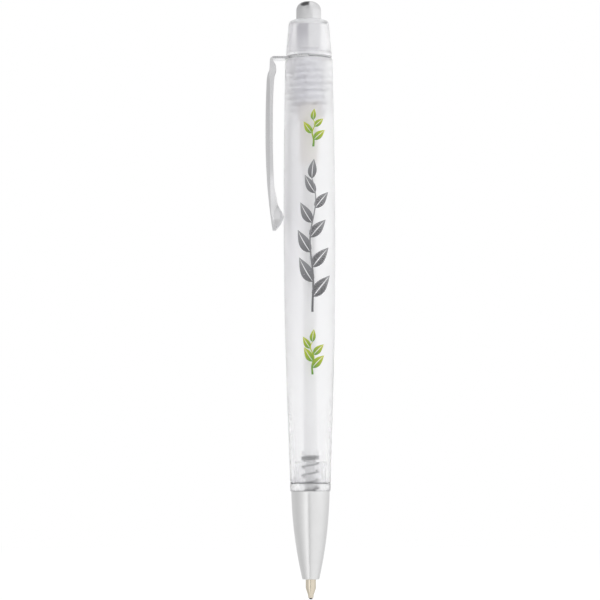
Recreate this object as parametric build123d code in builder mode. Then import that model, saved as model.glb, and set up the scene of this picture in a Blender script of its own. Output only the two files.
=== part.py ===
"""A push-button retractable ballpoint pen with its clip, cam mechanism, refill and return spring.

Millimetres. The pen stands tip down: Z is its axis, the writing ball touches Z = 0 at the origin,
and the clip lies towards -X. It is modelled with the tip out and the button latched down.
"""

import os
from math import atan2, cos, pi, sin, sqrt

from build123d import *

# Lengths along the axis, from the ball upwards
TIP_PROJECTION = 4.6
NOSE_LENGTH = 20.5
BAND_LENGTH = 1.75
BARREL_LENGTH = 99.35
CLIP_SHEET = 0.65
COLLAR_LENGTH = 8.6
BUTTON_PROJECTION = 4.55

# Clearances, measured on the radius or along the axis
PRESS_CLEARANCE = 0.03
RUNNING_CLEARANCE = 0.08
GUIDE_CLEARANCE = 0.15
SEAT_CLEARANCE = 0.05
EDGE_ROUND = 0.15

# How far the button and the refill travel from the latched position
RETRACT_TRAVEL = 5.6
PRESS_TRAVEL = 1.4

# Clip
CLIP_LENGTH = 41.0
CLIP_WIDTH = 4.4
CLIP_GAP = 2.52
CLIP_DEPTH = 1.7
CLIP_BOW = 1.1
CLIP_BOW_LENGTH = 13.0
CLIP_HOOK = 1.75
CLIP_HOOK_LENGTH = 18.0
CLIP_TOE = 3.3
CLIP_BUMP_RISE = 4.4
CLIP_BUMP_ROUND = 0.8
CLIP_BEND = 0.9
CLIP_EDGE = 0.35
CLIP_RING_STEP = 0.12
CLIP_TAB_GAP = 0.25

# Barrel
BARREL_TOP_R = 5.57
BARREL_SHOULDER_R = 5.92
BARREL_SHOULDER_DROP = 22.2
BARREL_BELLY_R = 6.03
GRIP_R = 6.0
GRIP_LENGTH = 8.0
GRIP_GAP = 1.8
BARREL_LOWER_R = 5.75
BARREL_LOWER_DROP = 16.0
BARREL_END_R = 4.72
BARREL_TOP_WALL = 1.02
BARREL_END_WALL = 1.0

# Nose and coupling
NOSE_R = 4.5
NOSE_END_R = 1.97
NOSE_BULGE = 0.53
NOSE_WALL = 0.9
NOSE_SEAT_HEIGHT = 6.4
COUPLING_UPPER_SPIGOT = 5.0
COUPLING_LOWER_SPIGOT = 5.0
COUPLING_ROOM = 0.54

# Collar
COLLAR_LIP = 1.57
COLLAR_STEP = 0.17
COLLAR_ROUND = 1.0
COLLAR_WALL = 0.9
COLLAR_FLOOR = 0.85
SPIGOT_WALL = 0.65
THREAD_PITCH = 1.57
THREAD_RADIUS = 0.36
THREAD_TURNS = 7
THREAD_START = 1.2
THREAD_RUNOUT = 1.41
THREAD_DEPTH = 0.5
NECK_DEPTH = 1.7

# Push button and plunger stem
BUTTON_R = 2.92
BUTTON_CROWN_R = 5.8
BUTTON_ROUND = 2.1
BUTTON_HEAD = 2.5
BUTTON_WALL = 0.55
BUTTON_LENGTH = 11.6
PILOT_ROOM = 0.6
SPLINE_LENGTH = 2.6

# Cam: ribs in the collar, lugs on the rotor
CAM_COUNT = 3
RIB_DEPTH = 0.65
RIB_WIDTH = 1.7
RIB_SETBACK = 2.3
LATCH_GAP = 0.3
LUG_WIDTH = 1.24
LUG_HEIGHT = 2.6
CROWN_TEETH = 6
CROWN_DEPTH = 0.5
CROWN_GAP = 0.1

# Rotor
ROTOR_BODY_R = 2.15
ROTOR_PILOT_R = 1.3
ROTOR_PILOT_LENGTH = 4.0
ROTOR_LENGTH = 14.0
ROTOR_SOCKET_DEPTH = 5.2

# Refill
TUBE_R = 1.55
TUBE_WALL = 0.45
HOLDER_R = 1.2
HOLDER_FLANGE_R = 2.05
HOLDER_FLANGE = 1.0
HOLDER_SPIGOT = 5.0
HOLDER_CHANNEL_R = 0.4
HOLDER_LENGTH = 27.4
TIP_SHOULDER = 2.6
TIP_NIB = 1.05
TIP_NIB_WALL = 0.16
TIP_RIM_WALL = 0.08
TIP_SHANK_R = 0.8
TIP_SHANK = 4.0
TIP_CHANNEL_R = 0.25
BALL_R = 0.5
BALL_PROJECTION = 0.32
BALL_CLEARANCE = 0.02
INK_HEADROOM = 12.45
FOLLOWER_LENGTH = 3.0

# Spring
SPRING_R = 2.15
WIRE_R = 0.21
SPRING_TURNS = 11
SPRING_END_TURNS = 1.25
SPRING_END_PITCH = 0.9
STEPS_PER_TURN = 4
GAP_SAMPLES_PER_TURN = 48

# Levels along the axis
z_nose_end = TIP_PROJECTION
z_nose_top = z_nose_end + NOSE_LENGTH
z_barrel_end = z_nose_top + BAND_LENGTH
z_barrel_top = z_barrel_end + BARREL_LENGTH
z_collar = z_barrel_top + CLIP_SHEET
z_collar_top = z_collar + COLLAR_LENGTH
z_button_top = z_collar_top + BUTTON_PROJECTION
z_button_end = z_button_top - BUTTON_LENGTH
z_head = z_button_top - BUTTON_HEAD
thread_foot = z_barrel_top - THREAD_START - THREAD_TURNS * THREAD_PITCH
z_spigot_end = thread_foot - THREAD_RUNOUT
z_neck = z_barrel_top - NECK_DEPTH
z_rib = z_spigot_end + RIB_SETBACK
z_lug = z_rib - LATCH_GAP
z_clip_point = z_collar - CLIP_LENGTH
z_touch = z_clip_point + CLIP_TOE
z_grip_top = z_clip_point - GRIP_GAP
z_grip_end = z_grip_top - GRIP_LENGTH
z_lower = z_grip_end - BARREL_LOWER_DROP
z_seat = z_nose_end + NOSE_SEAT_HEIGHT
z_socket = z_nose_top - COUPLING_LOWER_SPIGOT - GUIDE_CLEARANCE
z_tip_back = z_nose_end + PRESS_TRAVEL
z_flange = z_tip_back + HOLDER_LENGTH

# Radii, from the barrel inwards
barrel_bore_r = BARREL_TOP_R - BARREL_TOP_WALL
barrel_end_bore_r = BARREL_END_R - BARREL_END_WALL
spigot_r = barrel_bore_r - THREAD_DEPTH
spigot_bore_r = spigot_r - SPIGOT_WALL
barrel_mouth_r = spigot_r + GUIDE_CLEARANCE
thread_path_r = barrel_bore_r - GUIDE_CLEARANCE - THREAD_RADIUS
rib_inner_r = spigot_bore_r - RIB_DEPTH
spline_r = spigot_bore_r - GUIDE_CLEARANCE
stem_r = rib_inner_r - GUIDE_CLEARANCE
stem_bore_r = ROTOR_PILOT_R + RUNNING_CLEARANCE
button_bore_r = BUTTON_R - BUTTON_WALL
neck_r = BUTTON_R + GUIDE_CLEARANCE
collar_top_r = neck_r + COLLAR_LIP
collar_bottom_r = BARREL_TOP_R - COLLAR_STEP
clip_ring_r = BARREL_TOP_R - CLIP_RING_STEP
clip_reach = BARREL_BELLY_R + CLIP_GAP + CLIP_DEPTH
nose_socket_r = NOSE_R - NOSE_WALL
coupling_r = barrel_end_bore_r - PRESS_CLEARANCE
coupling_bore_r = SPRING_R + COUPLING_ROOM
tube_bore_r = TUBE_R - TUBE_WALL
tip_rim_r = BALL_R + TIP_RIM_WALL
tip_nib_r = BALL_R + TIP_NIB_WALL

# Cam slope: the rotor turns by half a cam step while it rises by the retract travel
index_angle = pi / CAM_COUNT
cam_r = (rib_inner_r + spline_r) / 2
cam_slope = RETRACT_TRAVEL / (index_angle * cam_r)
rib_side = RIB_WIDTH / 2 + GUIDE_CLEARANCE
spline_width = 2 * (rib_inner_r * sin(index_angle) - rib_side * cos(index_angle))
z_crown = z_lug + cam_slope * LUG_WIDTH / 2 + CROWN_GAP
z_rotor_top = z_crown - CROWN_GAP
z_rotor_end = z_rotor_top - ROTOR_LENGTH
z_tube_top = z_rotor_end + ROTOR_SOCKET_DEPTH - SEAT_CLEARANCE
z_stem_bore = z_crown + ROTOR_PILOT_LENGTH + PILOT_ROOM

# Thread: the ridge on the collar's spigot, and its groove in the barrel, which runs on by a turn at each end
thread_steps = [THREAD_PITCH / STEPS_PER_TURN] * (THREAD_TURNS * STEPS_PER_TURN)
groove_steps = [THREAD_PITCH / STEPS_PER_TURN] * ((THREAD_TURNS + 2) * STEPS_PER_TURN)
groove_foot = thread_foot - THREAD_PITCH


def radial_plane(turn, reach=0.0):
    """A plane across the radius at an angle in radians: local X runs around the axis, local Y is up."""
    outward = (cos(turn), sin(turn), 0)
    around = (-sin(turn), cos(turn), 0)
    return Plane(origin=(reach * outward[0], reach * outward[1], 0), x_dir=around, z_dir=outward)


def helix_nodes(radius, rises, start_z):
    """Points and unit tangents of a helix that climbs by one of the rises in each step of a turn."""
    step = 2 * pi / STEPS_PER_TURN
    nodes = []
    height = start_z
    for count in range(len(rises) + 1):
        before = rises[max(count - 1, 0)]
        after = rises[min(count, len(rises) - 1)]
        slope = (before + after) / 2 / step
        turn = count * step
        length = sqrt(radius**2 + slope**2)
        point = Vector(radius * cos(turn), radius * sin(turn), height)
        tangent = Vector(-radius * sin(turn) / length, radius * cos(turn) / length, slope / length)
        nodes.append((point, tangent))
        if count < len(rises):
            height += rises[count]
    return nodes


def biarcs(nodes):
    """Two tangent arcs between each pair of neighbouring nodes, drawn into the open line."""
    for (start, leave), (end, arrive) in zip(nodes, nodes[1:]):
        chord = end - start
        both = leave + arrive
        a = 2 * (1 - leave.dot(arrive))
        b = 2 * chord.dot(both)
        c = -chord.dot(chord)
        reach = (-b + sqrt(b * b - 4 * a * c)) / (2 * a)
        first = start + leave * reach
        second = end - arrive * reach
        middle = (first + second) * 0.5
        TangentArc(start, middle, tangent=leave)
        TangentArc(middle, end, tangent=second - first)


# Barrel: a tube that swells to the belly where the clip touches it, with one plain round stretch below
with BuildPart() as barrel:
    with BuildSketch(Plane.XZ):
        with BuildLine():
            shoulder = (BARREL_SHOULDER_R, z_barrel_top - BARREL_SHOULDER_DROP)
            Line((BARREL_TOP_R, z_barrel_top), shoulder)
            TangentArc((BARREL_BELLY_R, z_touch), shoulder, tangent=(0, 1))
            Line((BARREL_BELLY_R, z_touch), (GRIP_R, z_grip_top))
            Line((GRIP_R, z_grip_top), (GRIP_R, z_grip_end))
            TangentArc((GRIP_R, z_grip_end), (BARREL_LOWER_R, z_lower), tangent=(0, -1))
            Line((BARREL_LOWER_R, z_lower), (BARREL_END_R, z_barrel_end))
            Polyline(
                (BARREL_END_R, z_barrel_end),
                (barrel_end_bore_r, z_barrel_end),
                (barrel_end_bore_r, z_barrel_end + COUPLING_UPPER_SPIGOT),
                (barrel_bore_r, z_lower),
                (barrel_bore_r, z_spigot_end),
                (barrel_mouth_r, z_spigot_end),
                (barrel_mouth_r, z_barrel_top),
                (BARREL_TOP_R, z_barrel_top),
            )
        make_face()
    revolve(axis=Axis.Z)
    outer_rims = barrel.edges().filter_by(GeomType.CIRCLE).group_by(Axis.Z)
    fillet(outer_rims[0].sort_by(SortBy.RADIUS)[-1], EDGE_ROUND)
    with BuildLine() as groove_line:
        biarcs(helix_nodes(thread_path_r, groove_steps, groove_foot))
    with BuildSketch(Plane(origin=groove_line.line @ 0, z_dir=groove_line.line % 0)):
        Circle(THREAD_RADIUS + SEAT_CLEARANCE)
    sweep(path=groove_line.line, mode=Mode.SUBTRACT)
barrel.part.label = "barrel"

# Clear coupling: its band shows between barrel and nose, its spigots enter both
with BuildPart() as nose_coupling:
    with BuildSketch(Plane.XZ):
        with BuildLine():
            Polyline(
                (coupling_bore_r, z_nose_top - COUPLING_LOWER_SPIGOT),
                (nose_socket_r - PRESS_CLEARANCE, z_nose_top - COUPLING_LOWER_SPIGOT),
                (nose_socket_r - PRESS_CLEARANCE, z_nose_top),
                (BARREL_END_R, z_nose_top),
                (BARREL_END_R, z_barrel_end),
                (coupling_r, z_barrel_end),
                (coupling_r, z_barrel_end + COUPLING_UPPER_SPIGOT),
                (coupling_bore_r, z_barrel_end + COUPLING_UPPER_SPIGOT),
                close=True,
            )
        make_face()
    revolve(axis=Axis.Z)
    band_rims = nose_coupling.edges().filter_by(GeomType.CIRCLE).group_by(SortBy.RADIUS)[-1]
    fillet(band_rims, EDGE_ROUND)
nose_coupling.part.label = "nose_coupling"

# Nose cone: a bullet with a socket for the coupling, a seat for the spring and a hole for the tip
with BuildPart() as nose_cone:
    with BuildSketch(Plane.XZ):
        with BuildLine():
            SagittaArc((NOSE_R, z_nose_top), (NOSE_END_R, z_nose_end), NOSE_BULGE)
            Polyline(
                (NOSE_END_R, z_nose_end),
                (HOLDER_R + RUNNING_CLEARANCE, z_nose_end),
                (HOLDER_R + RUNNING_CLEARANCE, z_seat),
                (SPRING_R + GUIDE_CLEARANCE, z_seat),
                (SPRING_R + GUIDE_CLEARANCE, z_socket),
                (nose_socket_r, z_socket),
                (nose_socket_r, z_nose_top),
                (NOSE_R, z_nose_top),
            )
        make_face()
    revolve(axis=Axis.Z)
    end_rim = nose_cone.edges().filter_by(GeomType.CIRCLE).group_by(Axis.Z)[0].sort_by(SortBy.RADIUS)[-1]
    fillet(end_rim, EDGE_ROUND)
nose_cone.part.label = "nose_cone"

# Top collar: a thin clear cone over a threaded spigot, with the stop ribs of the cam in its bore
with BuildPart() as top_collar:
    with BuildSketch(Plane.XZ):
        with BuildLine():
            Polyline(
                (spigot_bore_r, z_spigot_end),
                (spigot_r, z_spigot_end),
                (spigot_r, z_collar),
                (collar_bottom_r, z_collar),
                (collar_top_r, z_collar_top),
                (neck_r, z_collar_top),
                (neck_r, z_collar_top - COLLAR_WALL),
                (collar_top_r - COLLAR_WALL, z_collar_top - COLLAR_WALL),
                (collar_bottom_r - COLLAR_WALL, z_collar + COLLAR_FLOOR),
                (neck_r, z_collar + COLLAR_FLOOR),
                (neck_r, z_neck),
                (spigot_bore_r, z_neck),
                close=True,
            )
        make_face()
    revolve(axis=Axis.Z)
    top_rim = top_collar.edges().filter_by(GeomType.CIRCLE).group_by(Axis.Z)[-1].sort_by(SortBy.RADIUS)[-1]
    fillet(top_rim, COLLAR_ROUND)
    for cam in range(CAM_COUNT):
        with BuildSketch(radial_plane(2 * cam * index_angle, rib_inner_r)):
            Polygon(
                (-RIB_WIDTH / 2, z_neck),
                (RIB_WIDTH / 2, z_neck),
                (RIB_WIDTH / 2, z_rib + cam_slope * RIB_WIDTH / 2),
                (-RIB_WIDTH / 2, z_rib - cam_slope * RIB_WIDTH / 2),
                align=None,
            )
        extrude(amount=spigot_bore_r + SPIGOT_WALL / 2 - rib_inner_r)
    with BuildLine() as thread_line:
        biarcs(helix_nodes(thread_path_r, thread_steps, thread_foot))
    with BuildSketch(Plane(origin=thread_line.line @ 0, z_dir=thread_line.line % 0)):
        Circle(THREAD_RADIUS)
    sweep(path=thread_line.line)
top_collar.part.label = "top_collar"

# Push button: a domed metal cap over the head of the stem, its crown arc tangent to the arc at its edge
crown_lean = (BUTTON_R - BUTTON_ROUND) / (BUTTON_CROWN_R - BUTTON_ROUND)
crown_upright = sqrt(1 - crown_lean**2)
z_crown_centre = z_button_top - BUTTON_CROWN_R
z_button_side = z_crown_centre + (BUTTON_CROWN_R - BUTTON_ROUND) * crown_upright
crown_joint = (BUTTON_CROWN_R * crown_lean, z_crown_centre + BUTTON_CROWN_R * crown_upright)
with BuildPart() as push_button:
    with BuildSketch(Plane.XZ):
        with BuildLine():
            Polyline((button_bore_r, z_button_end), (BUTTON_R, z_button_end), (BUTTON_R, z_button_side))
            TangentArc((BUTTON_R, z_button_side), crown_joint, tangent=(0, 1))
            TangentArc((0, z_button_top), crown_joint, tangent=(1, 0))
            Polyline((0, z_button_top), (0, z_head), (button_bore_r, z_head), (button_bore_r, z_button_end))
        make_face()
    revolve(axis=Axis.Z)
push_button.part.label = "push_button"

# Plunger stem: splines keep it from turning, its crown of teeth pushes the rotor
with BuildPart() as plunger_stem:
    with BuildSketch(Plane.XZ):
        with BuildLine():
            Polyline(
                (stem_bore_r, z_crown),
                (stem_r, z_crown),
                (stem_r, z_button_end),
                (button_bore_r - PRESS_CLEARANCE, z_button_end),
                (button_bore_r - PRESS_CLEARANCE, z_head - SEAT_CLEARANCE),
                (0, z_head - SEAT_CLEARANCE),
                (0, z_stem_bore),
                (stem_bore_r, z_stem_bore),
                close=True,
            )
        make_face()
    revolve(axis=Axis.Z)
    for cam in range(CAM_COUNT):
        with BuildSketch(radial_plane((2 * cam + 1) * index_angle, stem_bore_r + GUIDE_CLEARANCE)):
            with Locations((0, z_crown + SPLINE_LENGTH / 2)):
                Rectangle(spline_width, SPLINE_LENGTH)
        extrude(amount=spline_r)
    with BuildSketch():
        Circle(spline_r)
    extrude(amount=z_button_top, mode=Mode.INTERSECT)
    for tooth in range(CROWN_TEETH):
        with BuildSketch(radial_plane(2 * pi * tooth / CROWN_TEETH)):
            Polygon((-CROWN_DEPTH, z_crown), (CROWN_DEPTH, z_crown), (0, z_crown + CROWN_DEPTH), align=None)
        extrude(amount=spline_r, mode=Mode.SUBTRACT)
plunger_stem.part.label = "plunger_stem"

# Rotor: lugs that latch under the ribs, a pilot in the stem and a socket for the refill
with BuildPart() as cam_rotor:
    with BuildSketch(Plane.XZ):
        with BuildLine():
            Polyline(
                (TUBE_R + RUNNING_CLEARANCE, z_rotor_end),
                (ROTOR_BODY_R, z_rotor_end),
                (ROTOR_BODY_R, z_lug - LUG_HEIGHT),
                (stem_r, z_lug - LUG_HEIGHT),
                (stem_r, z_rotor_top),
                (ROTOR_PILOT_R, z_rotor_top),
                (ROTOR_PILOT_R, z_rotor_top + ROTOR_PILOT_LENGTH),
                (0, z_rotor_top + ROTOR_PILOT_LENGTH),
                (0, z_rotor_end + ROTOR_SOCKET_DEPTH),
                (TUBE_R + RUNNING_CLEARANCE, z_rotor_end + ROTOR_SOCKET_DEPTH),
                close=True,
            )
        make_face()
    revolve(axis=Axis.Z)
    for tooth in range(CROWN_TEETH):
        with BuildSketch(radial_plane(2 * pi * tooth / CROWN_TEETH, ROTOR_PILOT_R)):
            Polygon(
                (-CROWN_DEPTH, z_rotor_top),
                (CROWN_DEPTH, z_rotor_top),
                (0, z_rotor_top - CROWN_DEPTH),
                align=None,
            )
        extrude(amount=spline_r, mode=Mode.SUBTRACT)
    for cam in range(CAM_COUNT):
        with BuildSketch(radial_plane(2 * cam * index_angle, TUBE_R)):
            Polygon(
                (-LUG_WIDTH / 2, z_lug - LUG_HEIGHT),
                (LUG_WIDTH / 2, z_lug - LUG_HEIGHT),
                (LUG_WIDTH / 2, z_lug + cam_slope * LUG_WIDTH / 2),
                (-LUG_WIDTH / 2, z_lug - cam_slope * LUG_WIDTH / 2),
                align=None,
            )
        extrude(amount=spline_r)
    with BuildSketch():
        Circle(spline_r)
    extrude(amount=z_button_top, mode=Mode.INTERSECT)
cam_rotor.part.label = "cam_rotor"

# Clip ring: the washer under the collar, with the tab that carries the sprung arm
clip_tab_x = -(clip_reach - CLIP_BOW - CLIP_DEPTH) + CLIP_TAB_GAP
with BuildPart() as clip_ring:
    with BuildSketch(Plane.XY.offset(z_barrel_top)):
        Circle(clip_ring_r)
        with Locations((clip_tab_x / 2, 0)):
            Rectangle(-clip_tab_x, CLIP_WIDTH)
        Circle(spigot_r + GUIDE_CLEARANCE, mode=Mode.SUBTRACT)
    extrude(amount=CLIP_SHEET)
clip_ring.part.label = "clip_ring"

# Clip arm: a channel of sheet metal that bows outwards, closes towards its point and ends in a bump


def clip_curve(depth, top):
    """The clip's side curve at a depth under its outer face, from a level near its top to its point."""
    outer = -clip_reach + depth
    bow_level = z_bend - CLIP_BOW_LENGTH
    hook_level = z_clip_point + CLIP_HOOK_LENGTH
    TangentArc((outer, bow_level), (outer + CLIP_BOW, top), tangent=(0, 1))
    Line((outer, bow_level), (outer, hook_level))
    TangentArc((outer, hook_level), (outer + CLIP_HOOK, z_clip_point), tangent=(0, -1))


bow_lean = 2 * atan2(CLIP_BOW, CLIP_BOW_LENGTH)
bend_x = -clip_reach + CLIP_BOW
z_bend = z_collar - CLIP_BEND * (1 - sin(bow_lean))
bend_end = (bend_x + CLIP_BEND * cos(bow_lean), z_collar)
z_channel = z_collar - CLIP_BEND - CLIP_SHEET
bump_x = -(BARREL_BELLY_R + SEAT_CLEARANCE)
point_x = -clip_reach + CLIP_HOOK + CLIP_SHEET
clip_inner_x = -clip_reach + CLIP_DEPTH
hook_r = (CLIP_HOOK_LENGTH**2 + CLIP_HOOK**2) / (2 * CLIP_HOOK)
bump_drop = CLIP_HOOK_LENGTH - CLIP_TOE - CLIP_BUMP_RISE
bump_root_x = -clip_reach + hook_r - sqrt(hook_r**2 - bump_drop**2) + CLIP_SHEET / 2
with BuildPart() as clip_arm:
    with BuildSketch(Plane.XZ):
        with BuildLine():
            clip_curve(0, z_bend)
            bend = TangentArc((bend_x, z_bend), bend_end, tangent=(sin(bow_lean), cos(bow_lean)))
            Polyline(
                bend @ 1,
                (clip_tab_x, z_collar),
                (clip_tab_x, z_collar - CLIP_SHEET),
                (clip_inner_x + CLIP_BOW, z_collar - CLIP_SHEET),
            )
            clip_curve(CLIP_DEPTH, z_collar - CLIP_SHEET)
            Line((-clip_reach + CLIP_HOOK, z_clip_point), (clip_inner_x + CLIP_HOOK, z_clip_point))
        make_face()
    extrude(amount=CLIP_WIDTH / 2, both=True)
    outer_faces = clip_arm.faces().filter_by(lambda face: face.normal_at().X < -abs(face.normal_at().Z))
    side_edges = outer_faces.edges().filter_by(lambda edge: edge.bounding_box().size.Y < CLIP_EDGE)
    fillet(side_edges, CLIP_EDGE)
    with BuildSketch(Plane.XZ):
        with BuildLine():
            clip_curve(CLIP_SHEET, z_channel)
            clip_curve(CLIP_DEPTH + CLIP_SHEET, z_channel)
            Line(
                (-clip_reach + CLIP_SHEET + CLIP_BOW, z_channel),
                (clip_inner_x + CLIP_SHEET + CLIP_BOW, z_channel),
            )
            Line(
                (-clip_reach + CLIP_SHEET + CLIP_HOOK, z_clip_point),
                (clip_inner_x + CLIP_SHEET + CLIP_HOOK, z_clip_point),
            )
        make_face()
    extrude(amount=CLIP_WIDTH / 2 - CLIP_SHEET, both=True, mode=Mode.SUBTRACT)
    with BuildSketch(Plane.XZ):
        Polygon(
            (point_x, z_clip_point),
            (bump_x, z_touch),
            (clip_inner_x, z_touch + CLIP_BUMP_RISE),
            (bump_root_x, z_touch + CLIP_BUMP_RISE),
            (point_x - CLIP_SHEET / 2, z_clip_point),
            align=None,
        )
    extrude(amount=CLIP_WIDTH / 2 - CLIP_SHEET / 2, both=True)
    with BuildSketch(Plane.XZ):
        Polygon(
            (point_x, z_clip_point),
            (bump_x, z_touch),
            (bump_x, z_clip_point),
            align=None,
        )
    extrude(amount=CLIP_WIDTH, both=True, mode=Mode.SUBTRACT)
    bump_edge = clip_arm.edges().filter_by(Axis.Y).sort_by(Axis.X)[-1]
    fillet(bump_edge, CLIP_BUMP_ROUND)
clip_arm.part.label = "clip_arm"

# Refill: tube, ink, grease follower, nozzle, tip and ball
with BuildPart() as ink_tube:
    with BuildSketch(Plane.XY.offset(z_flange + HOLDER_FLANGE)):
        Circle(TUBE_R)
        Circle(tube_bore_r, mode=Mode.SUBTRACT)
    extrude(amount=z_tube_top - z_flange - HOLDER_FLANGE)
ink_tube.part.label = "ink_tube"

z_ink = z_flange + HOLDER_FLANGE + HOLDER_SPIGOT
ink_length = z_tube_top - INK_HEADROOM - FOLLOWER_LENGTH - z_ink
with BuildPart() as ink_column:
    with BuildSketch(Plane.XY.offset(z_ink)):
        Circle(tube_bore_r - PRESS_CLEARANCE)
    extrude(amount=ink_length)
ink_column.part.label = "ink_column"

with BuildPart() as ink_follower:
    with BuildSketch(Plane.XY.offset(z_ink + ink_length)):
        Circle(tube_bore_r - PRESS_CLEARANCE)
    extrude(amount=FOLLOWER_LENGTH)
ink_follower.part.label = "ink_follower"

with BuildPart() as tip_holder:
    with BuildSketch(Plane.XZ):
        with BuildLine():
            Polyline(
                (TIP_SHANK_R + PRESS_CLEARANCE, z_tip_back),
                (HOLDER_R, z_tip_back),
                (HOLDER_R, z_flange),
                (HOLDER_FLANGE_R, z_flange),
                (HOLDER_FLANGE_R, z_flange + HOLDER_FLANGE),
                (tube_bore_r - PRESS_CLEARANCE, z_flange + HOLDER_FLANGE),
                (tube_bore_r - PRESS_CLEARANCE, z_ink),
                (HOLDER_CHANNEL_R, z_ink),
                (HOLDER_CHANNEL_R, z_tip_back + TIP_SHANK + SEAT_CLEARANCE),
                (TIP_SHANK_R + PRESS_CLEARANCE, z_tip_back + TIP_SHANK + SEAT_CLEARANCE),
                close=True,
            )
        make_face()
    revolve(axis=Axis.Z)
tip_holder.part.label = "tip_holder"

with BuildPart() as writing_tip:
    with BuildSketch(Plane.XZ):
        with BuildLine():
            Polyline(
                (TIP_CHANNEL_R, BALL_PROJECTION),
                (tip_rim_r, BALL_PROJECTION),
                (tip_nib_r, TIP_NIB),
                (HOLDER_R, TIP_SHOULDER),
                (HOLDER_R, z_tip_back),
                (TIP_SHANK_R, z_tip_back),
                (TIP_SHANK_R, z_tip_back + TIP_SHANK),
                (TIP_CHANNEL_R, z_tip_back + TIP_SHANK),
                close=True,
            )
        make_face()
    revolve(axis=Axis.Z)
    with Locations((0, 0, BALL_R)):
        Sphere(BALL_R + BALL_CLEARANCE, mode=Mode.SUBTRACT)
writing_tip.part.label = "writing_tip"

with BuildPart() as tip_ball:
    with Locations((0, 0, BALL_R)):
        Sphere(BALL_R)
tip_ball.part.label = "tip_ball"

# Return spring: close turns at both ends, open turns between the nose seat and the holder's flange
end_steps = [SPRING_END_PITCH / STEPS_PER_TURN] * round(SPRING_END_TURNS * STEPS_PER_TURN)
spring_foot = z_seat + WIRE_R + SEAT_CLEARANCE
spring_head = z_flange - WIRE_R - SEAT_CLEARANCE
open_rise = spring_head - spring_foot - 2 * sum(end_steps)
open_count = SPRING_TURNS * STEPS_PER_TURN
spring_steps = end_steps + [open_rise / open_count] * open_count + end_steps
with BuildPart() as return_spring:
    with BuildLine() as spring_line:
        biarcs(helix_nodes(SPRING_R - WIRE_R, spring_steps, spring_foot))
    with BuildSketch(Plane(origin=spring_line.line @ 0, z_dir=spring_line.line % 0)):
        Circle(WIRE_R)
    sweep(path=spring_line.line)
return_spring.part.label = "return_spring"

# Least gap between the wire and itself, on points along its line, past the wire's own next stretch
spring_wire = spring_line.wires()[0]
sample_count = GAP_SAMPLES_PER_TURN * len(spring_steps) // STEPS_PER_TURN
samples = [spring_wire @ (index / sample_count) for index in range(sample_count + 1)]
skip = GAP_SAMPLES_PER_TURN // 2
least = min(
    (samples[far] - samples[near]).length
    for near in range(sample_count)
    for far in range(near + skip, sample_count + 1)
)
print(f"return_spring: {spring_wire.length:.1f} mm of wire, least gap to itself {least - 2 * WIRE_R:.2f} mm")

pieces = [
    barrel,
    nose_coupling,
    nose_cone,
    top_collar,
    clip_ring,
    clip_arm,
    push_button,
    plunger_stem,
    cam_rotor,
    ink_tube,
    ink_column,
    ink_follower,
    tip_holder,
    writing_tip,
    tip_ball,
    return_spring,
]
os.makedirs("parts", exist_ok=True)
for piece in pieces:
    export_step(piece.part, f"parts/{piece.part.label}.step")
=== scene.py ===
# %% [markdown]
# A push-button ballpoint pen, dressed for a studio picture. The CAD model holds the real sizes and the
# moving bodies. This lesson loads it as a fixed frame and then gives every piece its finish: frosted
# plastic, satin metal, drawn wire, printed ink. Everything is in metres, in the CAD model's own axes: Z
# runs up the pen from its ball, the clip is towards -X.

# %% Load the frame
import math

import bmesh
import bpy
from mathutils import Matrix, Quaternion, Vector


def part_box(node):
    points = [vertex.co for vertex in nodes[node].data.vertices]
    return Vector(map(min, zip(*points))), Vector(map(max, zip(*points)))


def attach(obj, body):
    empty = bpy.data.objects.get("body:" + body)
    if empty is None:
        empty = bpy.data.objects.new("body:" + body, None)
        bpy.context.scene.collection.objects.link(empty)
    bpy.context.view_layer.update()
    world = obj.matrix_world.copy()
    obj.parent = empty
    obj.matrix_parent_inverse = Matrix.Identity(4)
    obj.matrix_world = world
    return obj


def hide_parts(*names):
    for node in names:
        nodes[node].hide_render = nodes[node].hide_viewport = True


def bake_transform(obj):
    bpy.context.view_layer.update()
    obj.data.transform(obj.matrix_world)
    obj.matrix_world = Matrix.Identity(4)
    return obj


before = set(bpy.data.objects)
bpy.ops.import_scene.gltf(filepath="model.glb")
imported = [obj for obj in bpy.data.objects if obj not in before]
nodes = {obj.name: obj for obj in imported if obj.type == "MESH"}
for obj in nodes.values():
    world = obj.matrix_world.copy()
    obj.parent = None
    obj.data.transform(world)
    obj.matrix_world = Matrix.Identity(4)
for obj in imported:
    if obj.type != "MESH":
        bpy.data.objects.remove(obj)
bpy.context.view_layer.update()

# %% [markdown]
# The heights of the joints between the pieces come from the frame, so that the dressed pieces meet where
# the CAD pieces meet. They are kept in millimetres, the unit that a pen maker thinks in.

# %% Heights of the pieces
MM = 0.001


def span(node):
    """Lowest and highest level of a CAD node, in millimetres."""
    low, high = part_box(node)
    return low.z / MM, high.z / MM


nose_end, nose_top = span("nose_cone")
barrel_end, barrel_top = span("barrel")
spigot_end, collar_top = span("top_collar")
button_end, button_top = span("push_button")
clip_point, clip_top = span("clip_arm")
coupling_end, coupling_top = span("nose_coupling")
spring_low, spring_high = span("return_spring")
tip_low, tip_top = span("writing_tip")
print(f"barrel from {barrel_end:.2f} to {barrel_top:.2f} mm, pen {button_top:.1f} mm long")

# %% [markdown]
# A long lens keeps the outline of a slim object almost parallel. The camera stands 0.65 m away, lower
# than the middle of the pen, and looks up a little, so that the rings show as shallow arches. It could be
# dragged into place, but here its distance, its tilt and the width of what it sees are values that can be set
# one by one.

# %% Camera
CAMERA_DISTANCE = 0.65
CAMERA_ELEVATION = math.radians(-3.7)
FRAME_HEIGHT = 0.1402
SENSOR = 0.036
AXIS_OFFSET = -0.00228
AIM_DROP = 0.38
CAMERA_ROLL = math.radians(0.2)

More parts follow.
